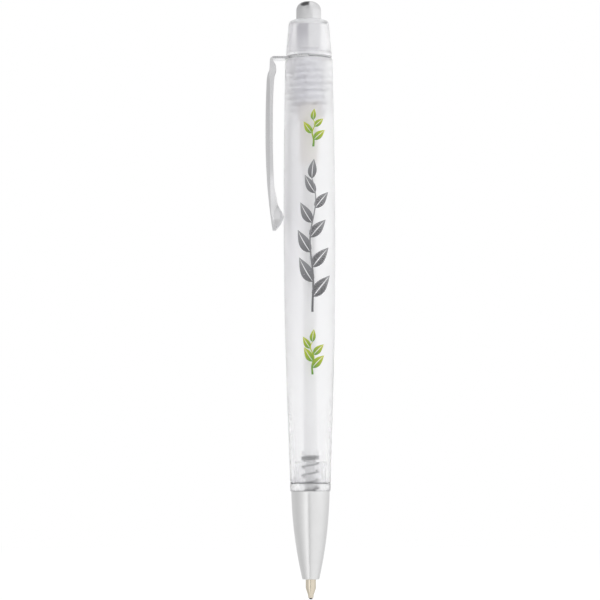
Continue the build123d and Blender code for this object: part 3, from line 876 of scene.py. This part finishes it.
seat_low = math.asin((BALL_LEVEL - tip_low) / BALL_SEAT_R)
seat_high = math.acos(TIP_CHANNEL_R / BALL_SEAT_R)
seat = arc((0, BALL_LEVEL), BALL_SEAT_R, -seat_low, seat_high, SEAT_STEPS)
corners = [*seat, (TIP_CHANNEL_R, tip_top), (TIP_SHANK_R, tip_top, 0.08), (TIP_SHANK_R, TIP_BACK)]
corners += [(TIP_R, TIP_BACK, 0.05), (TIP_R, TIP_SHOULDER, 0.25)]
corners += [(NIB_R + NIB_STEP, TIP_NIB + NIB_RISE, 0.1), (NIB_R, TIP_NIB, 0.05), (RIM_R, tip_low, 0.08)]
tip_mesh = turn(bmesh.new(), rounded(corners))
new_piece("turned_tip", tip_mesh, tip_finish, "refill", ["writing_tip"])

# %% [markdown]
# The clip is one strip of steel: a washer under the collar, a flat tab, a bend, and a long channel that
# ends in a pressed bump which grips the cloth. Its section changes along its length, so it is swept.
# Curves over the height give the outer line, the crown of the back, the depth and the lean of the walls,
# and the channel's floor.

# %% Curves along the clip
ARM_TOP = clip_top - 1.0
OUTER_KEYS = [(-9.18, ARM_TOP), (-9.3, 123.8), (-9.76, 122.5), (-9.98, 120.2), (-10.2, 113.0)]
OUTER_KEYS += [(-10.2, 104.5), (-9.88, 97.0), (-9.42, 92.0), (-8.95, 88.0), (-8.62, clip_point)]
FLOOR_KEYS = [(-8.3, ARM_TOP), (-8.6, 120.0), (-9.2, 113.0), (-9.2, 104.0), (-8.5, 97.5)]
FLOOR_KEYS += [(-7.5, 92.3), (-6.15, 89.7), (-6.08, 88.8), (-6.8, 87.2), (-7.95, clip_point)]
DEPTH_KEYS = [(0.7, ARM_TOP), (1.55, 124.4), (1.68, 118.0), (1.7, 104.0), (1.66, 96.0)]
DEPTH_KEYS += [(1.95, 92.2), (1.05, 90.3), (0.85, 89.0), (0.85, 88.0), (0.5, clip_point)]
CROWN_KEYS = [(0.12, ARM_TOP), (0.18, 123.4), (0.75, 121.3), (0.95, 116.0), (0.95, 102.0)]
CROWN_KEYS += [(0.6, 95.0), (0.35, 91.0), (0.25, clip_point)]
LEAN_KEYS = [(0.15, ARM_TOP), (0.18, 120.0), (0.18, 101.0), (0.5, 95.0), (0.6, 92.6)]
LEAN_KEYS += [(0.35, 90.7), (0.3, clip_point)]
KEY_STEPS = 12


def reading(keys, height):
    """The value of a smooth curve of (value, height) keys at one height."""
    points = smooth_through(keys, KEY_STEPS)
    for (start, high), (end, low) in zip(points, points[1:]):
        if low <= height <= high:
            return start + (end - start) * (high - height) / (high - low)
    return points[-1][0] if height < points[-1][1] else points[0][0]


print(f"clip stands out {-reading(OUTER_KEYS, 110.0):.2f} mm at 110 mm")

# %% [markdown]
# Each station along the clip is a closed section with the same number of points: a domed back, a wall,
# the channel's floor and the other wall. The tab and the bend are sections of the plain sheet. Towards
# the point the section narrows, so that the end is round.

# %% Stations along the clip
CLIP_HALF_WIDTH = 2.2
CLIP_SHEET = 0.61
CLIP_WALL = 0.5
LEAST_CHANNEL = 0.5
DOME_STEPS = 14
DOME_ARC = 0.75
FLOOR_STEPS = 6
FLOOR_SWELL = 0.35


def station(spot, outward, crown, depth, floor, half, lean):
    """One closed section of the clip: dome, wall, channel floor and wall, as points in millimetres."""
    section = []
    for step in range(DOME_STEPS + 1):
        side = 2 * step / DOME_STEPS - 1
        fall = 1 - math.sqrt(1 - (DOME_ARC * side) ** 2)
        section.append((half * side, crown * fall / (1 - math.sqrt(1 - DOME_ARC**2))))
    inner = max(half - CLIP_WALL, half * LEAST_CHANNEL) - lean
    section += [(half - lean, depth), (inner, depth)]
    for step in range(FLOOR_STEPS + 1):
        side = 1 - 2 * step / FLOOR_STEPS
        swell = max(floor - depth, 0) * FLOOR_SWELL * side**2
        section.append((inner * side, floor - swell))
    section += [(-inner, depth), (lean - half, depth)]
    return [spot - outward * deep + Vector((0, across, 0)) for across, deep in section]


TAB_PLACES = (-4.7, -6.0, -7.2, -8.2)
TAB_LEVEL = clip_top - 0.04
TAB_CROWN = 0.04
TAB_LEAN = -0.12
UP = Vector((0, 0, 1))
BEND_R = 0.9
BEND_STEPS = 6
BEND_CROWN = 0.08
BEND_SWELL = 0.15
ARM_STEPS = 110
END_ROUND = 2.4
END_WIDTH = 0.35
LEFT = Vector((-1, 0, 0))

stations = []
for x in TAB_PLACES:
    spot = Vector((x, 0, TAB_LEVEL))
    stations.append(station(spot, UP, TAB_CROWN, CLIP_SHEET, CLIP_SHEET, CLIP_HALF_WIDTH, TAB_LEAN))
bend_centre = Vector((OUTER_KEYS[0][0] + BEND_R, 0, TAB_LEVEL - BEND_R))
for step in range(1, BEND_STEPS):
    angle = math.pi / 2 * step / BEND_STEPS
    outward = Vector((-math.sin(angle), 0, math.cos(angle)))
    depth = CLIP_SHEET + BEND_SWELL * step / BEND_STEPS
    lean = TAB_LEAN + (LEAN_KEYS[0][0] - TAB_LEAN) * step / BEND_STEPS
    spot = bend_centre + outward * BEND_R
    stations.append(station(spot, outward, BEND_CROWN, depth, depth, CLIP_HALF_WIDTH, lean))
for step in range(ARM_STEPS + 1):
    level = bend_centre.z + (clip_point - bend_centre.z) * step / ARM_STEPS
    x = reading(OUTER_KEYS, level)
    floor = reading(FLOOR_KEYS, level) - x
    left = max(level - clip_point, 0.0)
    half = CLIP_HALF_WIDTH * math.sqrt(min(1.0, END_WIDTH + (1 - END_WIDTH) * left / END_ROUND))
    crown = reading(CROWN_KEYS, level)
    depth = reading(DEPTH_KEYS, level)
    lean = reading(LEAN_KEYS, level)
    stations.append(station(Vector((x, 0, level)), LEFT, crown, depth, floor, half, lean))
print(len(stations), "stations along the clip")

# %% [markdown]
# Neighbouring stations are joined with faces, the two ends are closed, and the washer is turned into the
# same mesh. On the pen the arm springs open about its root, while the washer stays.

# %% Clip
RING_R = 5.1
RING_HOLE_R = 4.2
RING_GAP = 0.03

clip_mesh = bmesh.new()
loops = [[clip_mesh.verts.new(point * MM) for point in section] for section in stations]
for first, second in zip(loops, loops[1:]):
    for index in range(len(first)):
        after = (index + 1) % len(first)
        clip_mesh.faces.new([first[index], first[after], second[after], second[index]])
clip_mesh.faces.new(loops[0])
clip_mesh.faces.new(loops[-1])
ring_low = barrel_top + RING_GAP
ring_high = clip_top - RING_GAP
washer = [(RING_HOLE_R, ring_low, 0.06), (RING_R, ring_low, 0.1)]
washer += [(RING_R, ring_high, 0.1), (RING_HOLE_R, ring_high, 0.06)]
turn(clip_mesh, rounded(washer))
clip = new_piece("sprung_clip", clip_mesh, clip_finish, None, ["clip_ring", "clip_arm"])
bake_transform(clip)

# %% [markdown]
# Geometry Nodes suit what follows a path or a surface. A tree is built once, with named inputs for its
# sizes, and its result is taken as a plain mesh, because instances and modifiers would be lost in an
# export.

# %% A geometry tree and its result
def geometry_tree(name, inputs):
    """A new geometry tree with named inputs, its wrapped start and a function that closes it."""
    tree = bpy.data.node_groups.new(name, "GeometryNodeTree")
    tree.interface.new_socket("Geometry", in_out="OUTPUT", socket_type="NodeSocketGeometry")
    for label, kind in inputs.items():
        tree.interface.new_socket(label, in_out="INPUT", socket_type=kind)
    root = Wire(tree)
    entry = root.node("NodeGroupInput").output.node

    def given(label):
        return Wire(tree, entry.outputs[label])

    def close(geometry, smooth=True):
        real = root.node("GeometryNodeRealizeInstances", {}, {0: geometry})
        shaded = root.node("GeometryNodeSetShadeSmooth", {}, {0: real, "Shade Smooth": smooth})
        painted = root.node("GeometryNodeSetMaterial", {}, {0: shaded, "Material": given("Material")})
        root.node("NodeGroupOutput", {}, {0: painted})

    return tree, root, given, close


def joined(root, *pieces):
    """Several geometries as one."""
    made = root.node("GeometryNodeJoinGeometry")
    for piece in pieces:
        root.tree.links.new(piece.output, made.output.node.inputs[0])
    return made


def grown(name, tree, values):
    """An object whose mesh is the tree's result for these values."""
    piece = bpy.data.objects.new(name, bpy.data.meshes.new(name))
    scene.collection.objects.link(piece)
    modifier = piece.modifiers.new("grow", "NODES")
    modifier.node_group = tree
    for item in tree.interface.items_tree:
        if item.in_out == "INPUT" and item.name in values:
            value = values[item.name]
            if item.socket_type == "NodeSocketFloat":
                value = float(value)
            modifier[item.identifier] = value
    graph = bpy.context.evaluated_depsgraph_get()
    mesh = bpy.data.meshes.new_from_object(piece.evaluated_get(graph))
    piece.modifiers.clear()
    piece.data = mesh
    return piece


print("trees start from", geometry_tree.__name__, "and become meshes in", grown.__name__)

# %% [markdown]
# The return spring is a helix of drawn wire. Each point's share of the wire gives its angle, and three
# straight stretches give its height: a closed end, the open turns and the other closed end. At the ends
# the turns lie almost on each other, which is why the top of the spring looks like one dark ring. The
# spring stretches between the nose's seat and the refill's flange.

# %% Return spring
SPRING_PATH_R = 1.94
WIRE_R = 0.21
OPEN_TURNS = 11
END_TURNS = 1.5
END_PITCH = 0.47
POINTS_PER_TURN = 32
WIRE_SIDES = 10
FLOAT = "NodeSocketFloat"
SPRING_SIZES = ("Radius", "Wire Radius", "Low", "High", "Turns", "End Turns", "End Pitch")

spring_tree, root, given, close = geometry_tree(
    "wound_spring",
    {label: FLOAT for label in SPRING_SIZES} | {"Points": "NodeSocketInt", "Material": "NodeSocketMaterial"},
)
line = root.node("GeometryNodeMeshLine", {}, {"Count": given("Points")})
index = root.node("GeometryNodeInputIndex")
all_turns = given("Turns") + given("End Turns") * 2
turned = index / (given("Points") - 1) * all_turns
end_rise = given("End Turns") * given("End Pitch")
open_rise = given("High") - given("Low") - end_rise * 2
first_part = turned.math("MINIMUM", given("End Turns"))
last_part = (turned - given("End Turns") - given("Turns")).math("MAXIMUM", 0.0)
middle_part = turned - first_part - last_part
closed_rise = (first_part + last_part) * given("End Pitch")
level = given("Low") + closed_rise + middle_part / given("Turns") * open_rise
angle = turned * (2 * math.pi)
out = given("Radius") * angle.math("COSINE")
side = given("Radius") * angle.math("SINE")
wound = root.node("ShaderNodeCombineXYZ", {}, {"X": out, "Y": side, "Z": level})
helix = root.node("GeometryNodeSetPosition", {}, {"Geometry": line, "Position": wound})
path = root.node("GeometryNodeMeshToCurve", {}, {0: helix})
wire_size = {"Resolution": WIRE_SIDES, "Radius": given("Wire Radius")}
section = root.node("GeometryNodeCurvePrimitiveCircle", {}, wire_size)
close(root.node("GeometryNodeCurveToMesh", {}, {0: path, "Profile Curve": section, "Fill Caps": True}))
spring = grown(
    "return_coil",
    spring_tree,
    {
        "Radius": SPRING_PATH_R * MM,
        "Wire Radius": WIRE_R * MM,
        "Low": (spring_low + WIRE_R) * MM,
        "High": (spring_high - WIRE_R) * MM,
        "Turns": OPEN_TURNS,
        "End Turns": END_TURNS,
        "End Pitch": END_PITCH * MM,
        "Points": int((OPEN_TURNS + 2 * END_TURNS) * POINTS_PER_TURN) + 1,
        "Material": spring_finish,
    },
)
dress(spring, spring_finish, None, ["return_spring"])
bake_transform(spring)

# %% [markdown]
# The barrel carries a small screen print: plain leaf sprigs in lime green and grey. Screen ink lies on
# the plastic as a thin film, so each sprig is a real sheet of it, a few hundredths of a millimetre thick.
# Its colour fades from the foot of a leaf to its point, with the fine speckle of a screen.

# %% Printed ink
SCREEN_SCALE = 9000.0
SCREEN_SHADE = 0.3
INK_ROUGHNESS = 0.4
SCREEN_ROUGHNESS = 0.15
INK_RELIEF = 0.002


def printed_ink(name, light, dark):
    """A screen ink that fades along a leaf, by the attribute that the leaf carries."""
    material, root = new_finish(name)
    spot, _ = place(root)
    speckle = noise(root, spot, SCREEN_SCALE, 1.0)
    fade = attribute(root, "shade") + speckle * SCREEN_SHADE - SCREEN_SHADE / 2
    surface = shine(
        root,
        Base__Color=blended(root, fade, (*dark, 1), (*light, 1)),
        Roughness=speckle * SCREEN_ROUGHNESS + INK_ROUGHNESS,
        Normal=bumped(root, speckle, INK_RELIEF * MM),
    )
    close_finish(root, surface)
    return material


green_ink = printed_ink("green_ink", (0.6, 0.64, 0.02), (0.12, 0.32, 0.05))
grey_ink = printed_ink("grey_ink", (0.33, 0.33, 0.34), (0.15, 0.15, 0.16))
print("inks:", green_ink.name, grey_ink.name)

# %% [markdown]
# A sprig is drawn flat first, with x across the pen and y up it. Its stem is a narrow grid that sways
# from side to side. A leaf is another grid, four points wide: the two middle columns stay close together,
# and the strip between them is taken out, so that a bare vein runs up the leaf.

# %% A flat leaf and its stem
SPRIG_SIZES = ("Foot", "Length", "Sway", "Leaf Length", "Leaf Width", "Tilt", "Around", "Film")
SPRIG_OTHERS = {"Leaves": "NodeSocketInt", "Barrel": "NodeSocketObject", "Material": "NodeSocketMaterial"}
VEIN = 0.09
STEM_WIDTH = 0.16
STEM_TAPER = 1.6
STEM_STEPS = 40
LEAF_STEPS = 11
LEAF_BELLY = 0.75
LEAF_BOW = 0.5
SWAYS = 1.5

sprig_inputs = {label: FLOAT for label in SPRIG_SIZES} | SPRIG_OTHERS
sprig_tree, root, given, close = geometry_tree("leaf_sprig", sprig_inputs)


def part_of(vector, axis):
    """One part of a vector."""
    return root.node("ShaderNodeSeparateXYZ", {}, {0: vector}, axis)


def flat_grid(columns, steps):
    """A grid with its place across, from -1 to 1, and its place along, from 0 to 1."""
    size = {"Size X": 2.0, "Size Y": 1.0, "Vertices X": columns, "Vertices Y": steps}
    grid = root.node("GeometryNodeMeshGrid", {}, size)
    spot = root.node("GeometryNodeInputPosition")
    return grid, part_of(spot, "X"), part_of(spot, "Y") + 0.5


def set_place(geometry, across, up):
    """Move the points of a flat drawing."""
    flat = root.node("ShaderNodeCombineXYZ", {}, {"X": across, "Y": up})
    return root.node("GeometryNodeSetPosition", {}, {"Geometry": geometry, "Position": flat})


def with_shade(geometry, share):
    """Keep a share from 0 to 1 on each point, for the ink's colour."""
    settings = {"data_type": "FLOAT", "domain": "POINT"}
    inputs = {"Geometry": geometry, "Name": "shade", "Value": share}
    return root.node("GeometryNodeStoreNamedAttribute", settings, inputs)


def sway_at(share):
    """How far the stem leans to the side at a share of its height."""
    return (share * (SWAYS * 2 * math.pi)).math("SINE") * given("Sway") * share


stem, across, along = flat_grid(2, STEM_STEPS)
width = (STEM_TAPER - along) * (STEM_WIDTH * MM)
stem = set_place(with_shade(stem, along), sway_at(along) + across * width, along * given("Length"))

leaf, across, along = flat_grid(4, LEAF_STEPS)
middle = across.math("ABSOLUTE").math("LESS_THAN", 0.5)
leaf = root.node("GeometryNodeDeleteGeometry", {"domain": "FACE"}, {"Geometry": leaf, "Selection": middle})
belly = (along.math("POWER", LEAF_BELLY) * math.pi).math("SINE").math("MAXIMUM", 0.0) * given("Leaf Width")
reach = across.math("SIGN") * (middle * (VEIN - 1) + 1) * belly
bow = along * along * given("Leaf Width") * LEAF_BOW
leaf = set_place(with_shade(leaf, along), reach + bow, along * given("Leaf Length"))
print("leaf drawn in", LEAF_STEPS, "steps, stem in", STEM_STEPS)

# %% [markdown]
# The leaves are instances on points along the stem, on both sides in turn and smaller towards its end,
# and the last one points straight up. Then the flat drawing is wrapped: each point looks in at the barrel
# from outside, and a ray finds the surface. The sheet gets its thickness last, so that the film is a
# closed solid.

# %% Sprigs on the barrel
LEAF_LARGEST = 1.15
LEAF_SHRINK = 0.4
WRAP_R = 5.9
LOOK_FROM = 8.0
GAP = 0.003
MERGE = 1e-7

index = root.node("GeometryNodeInputIndex")
points = root.node("GeometryNodeMeshLine", {}, {"Count": given("Leaves")})
share = (index + 1) / given("Leaves")
points = set_place(points, sway_at(share), share * given("Length"))
before_last = index.math("LESS_THAN", given("Leaves") - 1.5)
side = (index.math("MODULO", 2.0) * 2 - 1) * before_last
tilted = root.node("ShaderNodeCombineXYZ", {}, {"Z": side * given("Tilt")})
turned_leaf = root.node("FunctionNodeEulerToRotation", {}, {0: tilted})
leaf_size = LEAF_LARGEST - share * LEAF_SHRINK
placing = {"Points": points, "Instance": leaf, "Rotation": turned_leaf, "Scale": leaf_size}
leaves = root.node("GeometryNodeInstanceOnPoints", {}, placing)
drawing = root.node("GeometryNodeRealizeInstances", {}, {0: joined(root, stem, leaves)})

spot = root.node("GeometryNodeInputPosition")
angle = part_of(spot, "X") / (WRAP_R * MM) + given("Around")
height = part_of(spot, "Y") + given("Foot")
right = angle.math("SINE")
back = angle.math("COSINE") * -1.0


def spoke(length, up):
    """The point at a distance from the axis, in the direction of each point of the drawing."""
    return root.node("ShaderNodeCombineXYZ", {}, {"X": right * length, "Y": back * length, "Z": up})


target = root.node("GeometryNodeObjectInfo", {}, {"Object": given("Barrel")}, "Geometry")
ray = {"Source Position": spoke(LOOK_FROM * MM, height), "Ray Direction": spoke(-1.0, 0.0)}
hit = root.node("GeometryNodeRaycast", {}, {"Target Geometry": target} | ray, "Hit Position")
lifted = root.node("ShaderNodeVectorMath", {"operation": "ADD"}, {0: hit, 1: spoke(GAP * MM, 0.0)})
sheet = root.node("GeometryNodeSetPosition", {}, {"Geometry": drawing, "Position": lifted})
thickening = {"Mesh": sheet, "Offset Scale": given("Film"), "Individual": False}
film = root.node("GeometryNodeExtrudeMesh", {"mode": "FACES"}, thickening)
below = root.node("GeometryNodeFlipFaces", {}, {0: sheet})
solid = root.node("GeometryNodeMergeByDistance", {}, {0: joined(root, film, below), "Distance": MERGE})
close(solid, smooth=False)
print("sprig tree has", len(sprig_tree.nodes), "nodes")

# %% [markdown]
# The same tree makes all three sprigs. Only its inputs differ: a tall grey one in the middle of the
# barrel, and a short green one above and below it.

# %% The print
FILM = 0.02


def print_sprig(name, ink, leaves, foot, length, sway, leaf_length, leaf_width, tilt, around):
    """One sprig of the print, with sizes in millimetres and angles in radians."""
    sizes = {"Foot": foot, "Length": length, "Sway": sway, "Film": FILM}
    sizes |= {"Leaf Length": leaf_length, "Leaf Width": leaf_width}
    values = {label: size * MM for label, size in sizes.items()}
    values |= {"Tilt": tilt, "Around": around, "Leaves": leaves, "Barrel": barrel, "Material": ink}
    dress(grown(name, sprig_tree, values), ink, "barrel")


print_sprig(
    "green_sprig_top",
    green_ink,
    leaves=4,
    foot=105.0,
    length=6.2,
    sway=0.5,
    leaf_length=3.6,
    leaf_width=0.85,
    tilt=0.75,
    around=0.16,
)
print_sprig(
    "grey_sprig",
    grey_ink,
    leaves=9,
    foot=66.5,
    length=31.0,
    sway=1.0,
    leaf_length=6.2,
    leaf_width=1.35,
    tilt=0.62,
    around=0.1,
)
print_sprig(
    "green_sprig_foot",
    green_ink,
    leaves=5,
    foot=52.0,
    length=7.5,
    sway=-0.6,
    leaf_length=4.0,
    leaf_width=0.95,
    tilt=0.7,
    around=0.1,
)

# %% [markdown]
# The pen stands on a pale floor. Near the pen the floor keeps the shadow, and farther away it fades into
# the white behind it. It is shown from above only: a camera that looks up from below still sees the pen.

# %% Floor
FLOOR_SIZE = 3.0
FLOOR_DROP = 0.00005
FADE_NEAR = 0.12
FADE_FAR = 0.5
FLOOR_GLOW = 0.6
PAPER = (0.9, 0.9, 0.9, 1)
LIT_PAPER = (1.25, 1.25, 1.25, 1)
WHITE = (1, 1, 1, 1)


def light_path(root, question):
    """What kind of ray is looking, or how far it has come."""
    return root.node("ShaderNodeLightPath", output=question)


def mixed(root, factor, first, second):
    """A shader that goes from the first to the second with the factor."""
    return root.node("ShaderNodeMixShader", {}, {0: factor, 1: first, 2: second})


def stage_panel(name, corners, faces, finish):
    """A sheet of the stage, from its corners in metres."""
    data = bpy.data.meshes.new(name)
    data.from_pydata(corners, [], faces)
    panel = bpy.data.objects.new(name, data)
    data.materials.append(finish)
    scene.collection.objects.link(panel)
    return panel


floor_finish, root = new_finish("pale_floor")
spot, _ = place(root)
far = ramped(root, vector_length(root, spot), FADE_NEAR, FADE_FAR)
seen = light_path(root, "Is Camera Ray")
paper = root.node("ShaderNodeBsdfDiffuse", {}, {"Color": blended(root, seen, PAPER, LIT_PAPER)})
white = root.node("ShaderNodeEmission", {}, {"Color": WHITE, "Strength": 1.0})
glow = (far * (1 - FLOOR_GLOW) + FLOOR_GLOW) * seen
shown = mixed(root, light_path(root, "Is Transmission Ray").math("MAXIMUM", glow), paper, white)
behind = root.node("ShaderNodeNewGeometry", output="Backfacing")
unseen = behind.math("MAXIMUM", light_path(root, "Is Glossy Ray"))
close_finish(root, mixed(root, unseen, shown, root.node("ShaderNodeBsdfTransparent")))

half = FLOOR_SIZE / 2
floor_corners = [(-half, -half, 0), (half, -half, 0), (half, half, 0), (-half, half, 0)]
floor_panel = stage_panel("floor", floor_corners, [(0, 1, 2, 3)], floor_finish)
floor_panel.location.z = -FLOOR_DROP
print("floor", FLOOR_SIZE, "m wide")

# %% [markdown]
# Three large soft lamps give the plastic its roundness: a key lamp on the right, a weaker and slightly
# blue one on the left, and one above. They don't show in the metal or through the plastic, which get
# cards instead.

# %% Lamps
def soft_lamp(name, spot, size, power, colour=(1, 1, 1)):
    """An area lamp that looks at the middle of the pen."""
    data = bpy.data.lights.new(name, "AREA")
    data.shape = "RECTANGLE"
    data.size, data.size_y = size
    data.energy = power
    data.color = colour
    lamp = bpy.data.objects.new(name, data)
    lamp.location = spot
    lamp.rotation_euler = (aim - Vector(spot)).to_track_quat("-Z", "Y").to_euler()
    lamp.visible_glossy = False
    lamp.visible_transmission = False
    scene.collection.objects.link(lamp)
    print(f"{name}: {power} W, {(aim - Vector(spot)).length:.2f} m away")


soft_lamp("key_lamp", (0.75, -0.55, 0.35), size=(0.8, 1.1), power=1.5)
soft_lamp("fill_lamp", (-0.7, -0.8, 0.2), size=(0.7, 1.0), power=0.5, colour=(0.94, 0.93, 1.0))
soft_lamp("top_lamp", (0.1, 0.2, 0.95), size=(0.8, 0.8), power=0.8)

# %% [markdown]
# Metal shows what surrounds it, and an all-white room would leave it flat. So grey cards stand round the
# pen, as a photographer's flags do. Some show only in the metal and others only through the plastic,
# because each needs a room of its own. None is in the picture, and none shades the lamps.

# %% Cards
CARD_STEPS = 36
ALL_ROUND = (-179.9, 179.9)


def card_glow(root, colour, seen_by):
    """Close a card's finish: metal shows it directly, or plastic shows it through its wall."""
    glow = root.node("ShaderNodeEmission", {}, {"Color": colour, "Strength": 1.0})
    depth = light_path(root, "Transmission Depth")
    passed = depth.math("GREATER_THAN" if seen_by == "metal" else "LESS_THAN", 0.5)
    close_finish(root, mixed(root, passed, glow, root.node("ShaderNodeBsdfTransparent")))


def hide_from_view(panel):
    """Keep a card out of the picture and out of the lamps' light."""
    panel.visible_camera = False
    panel.visible_diffuse = False
    panel.visible_shadow = False


def card(name, seen_by, angles, distance, levels, shades, tint=(1, 1, 1)):
    """An upright card round the pen, with stops of (angle, shade); 0 degrees is towards the camera."""
    first, last = angles
    finish, root = new_finish(name)
    _, (right, back, _) = place(root)
    along = (right.math("ARCTAN2", back * -1.0) * (180 / math.pi) - first) / (last - first)
    stops = []
    for angle, shade in shades:
        stops.append(((angle - first) / (last - first), (*[part * shade for part in tint], 1)))
    card_glow(root, root.node("ShaderNodeValToRGB", {"stops": stops}, {0: along}, "Color"), seen_by)
    points = []
    for step in range(CARD_STEPS + 1):
        angle = math.radians(first + (last - first) * step / CARD_STEPS)
        points.append((distance * math.sin(angle), -distance * math.cos(angle)))
    corners = [(x, y, level) for level in levels for x, y in points]
    faces = [(i, i + 1, i + CARD_STEPS + 2, i + CARD_STEPS + 1) for i in range(CARD_STEPS)]
    hide_from_view(stage_panel(name, corners, faces, finish))
    print(f"{name}: seen by {seen_by}, {distance} m away")


def flat_card(name, low_corner, high_corner, level, shade):
    """A level card above or below the pen, which only metal shows."""
    finish, root = new_finish(name)
    card_glow(root, (shade, shade, shade, 1), "metal")
    (left, front), (right, back) = low_corner, high_corner
    corners = [(left, front, level), (right, front, level), (right, back, level), (left, back, level)]
    hide_from_view(stage_panel(name, corners, [(0, 1, 2, 3)], finish))
    print(f"{name}: seen by metal, at {level} m")


print("an upright card has", CARD_STEPS, "panes")

# %% [markdown]
# The metal's rooms: one for the button, one for the clip and one for the nose, each at the height that
# its piece reflects. Their shades change round the pen, with a narrow dark strip for the line along the
# nose. A dark flag hangs over the button's dome, and a grey card lies under the nose for views from
# above.

# %% What the metal shows
BUTTON_ROOM = [(-180, 0.55), (-101, 0.56), (-76, 0.58), (-54, 0.66), (-34, 0.7), (-20, 0.6), (-2, 0.6)]
BUTTON_ROOM += [(11, 0.74), (25, 0.9), (42, 0.93), (85, 0.92), (114, 0.87), (180, 0.8)]
CLIP_ROOM = [(-180, 1.1), (-172, 1.0), (-165, 0.5), (-150, 0.75), (-90, 0.74), (-40, 0.76), (-24, 0.95)]
CLIP_ROOM += [(-12, 1.2), (3, 1.2), (14, 0.78), (30, 0.7), (42, 1.25), (70, 1.35), (180, 1.35)]
NOSE_ROOM = [(-180, 1.15), (-166, 1.15), (-154, 0.66), (-122, 0.66), (-91, 0.59), (-68, 0.67)]
NOSE_ROOM += [(-47, 0.81), (-28, 1.08), (-15, 1.08), (-11, 0.12), (-8, 0.12), (-4, 0.8), (27, 0.87)]
NOSE_ROOM += [(66, 0.87), (90, 0.81), (119, 0.7), (154, 0.67), (166, 1.15), (180, 1.15)]
ROOM_DISTANCE = 0.9
NOSE_DISTANCE = 0.6
BUTTON_LEVELS = (0.272, 1.6)
CLIP_LEVELS = (0.1, 0.272)
NOSE_LEVELS = (-1.5, 0.08)

card("button_room", "metal", ALL_ROUND, ROOM_DISTANCE, BUTTON_LEVELS, BUTTON_ROOM)
card("clip_room", "metal", ALL_ROUND, ROOM_DISTANCE, CLIP_LEVELS, CLIP_ROOM)
card("nose_room", "metal", ALL_ROUND, NOSE_DISTANCE, NOSE_LEVELS, NOSE_ROOM)
flat_card("dome_flag", low_corner=(-1.4, -0.5), high_corner=(0.05, 1.4), level=1.0, shade=0.1)
flat_card("nose_ground", low_corner=(-0.6, -0.6), high_corner=(0.6, 0.6), level=-1.0, shade=0.62)

# %% [markdown]
# The plastic's cards: the left half of the room is slightly violet, with a dark strip towards the top,
# which gives the barrel's upper left side its shade. Pale grey rings above and below draw the edges of
# the cone and of the foot. Lamps alone could not do this, because clear plastic shows only what is behind
# it.

# %% What shows through the plastic
VIOLET = (0.99, 0.97, 1.03)
LEFT_HALF = (-177, -4)
LEFT_BACK = (-172, -118)
TOP_LEFT = (-150, -4)
TOP_SHADES = [(-150, 0.64), (-110, 0.6), (-4, 0.6)]
LEFT_DISTANCE = 0.88
BACK_DISTANCE = 0.86
RING_DISTANCE = 0.7


def plain(angles, shade):
    """The same shade at both ends of a card."""
    return [(angles[0], shade), (angles[1], shade)]


card("middle_left", "plastic", LEFT_HALF, LEFT_DISTANCE, (0.155, 0.2), plain(LEFT_HALF, 0.98), VIOLET)
card("upper_left", "plastic", LEFT_HALF, LEFT_DISTANCE, (0.2, 0.25), plain(LEFT_HALF, 0.2), VIOLET)
card("top_left", "plastic", TOP_LEFT, LEFT_DISTANCE, (0.25, 0.6), TOP_SHADES, VIOLET)
card("lower_left", "plastic", LEFT_BACK, BACK_DISTANCE, (-0.4, 0.155), plain(LEFT_BACK, 0.97))
card("studio_ceiling", "plastic", ALL_ROUND, RING_DISTANCE, (0.45, 0.85), plain(ALL_ROUND, 0.7))
card("studio_ground", "plastic", ALL_ROUND, RING_DISTANCE, (-0.65, -0.25), plain(ALL_ROUND, 0.8))

# %% [markdown]
# The world lights the scene gently from all sides. What the camera, the metal and the clear plastic see
# of it is plain white, so the picture has a white background and the pen reflects that same white room.

# %% World
AMBIENT = 0.78

world = bpy.data.worlds.new("white_room")
world.use_nodes = True
world.node_tree.nodes.clear()
world.cycles.sampling_method = "NONE"
scene.world = world
root = Wire(world.node_tree)
direct = light_path(root, "Is Camera Ray")
for question in ("Is Glossy Ray", "Is Transmission Ray"):
    direct = direct.math("MAXIMUM", light_path(root, question))
strength = direct * (1 - AMBIENT) + AMBIENT
light = root.node("ShaderNodeBackground", {}, {"Color": WHITE, "Strength": strength})
root.node("ShaderNodeOutputWorld", {}, {"Surface": light})
print("world lights the pen at", AMBIENT)
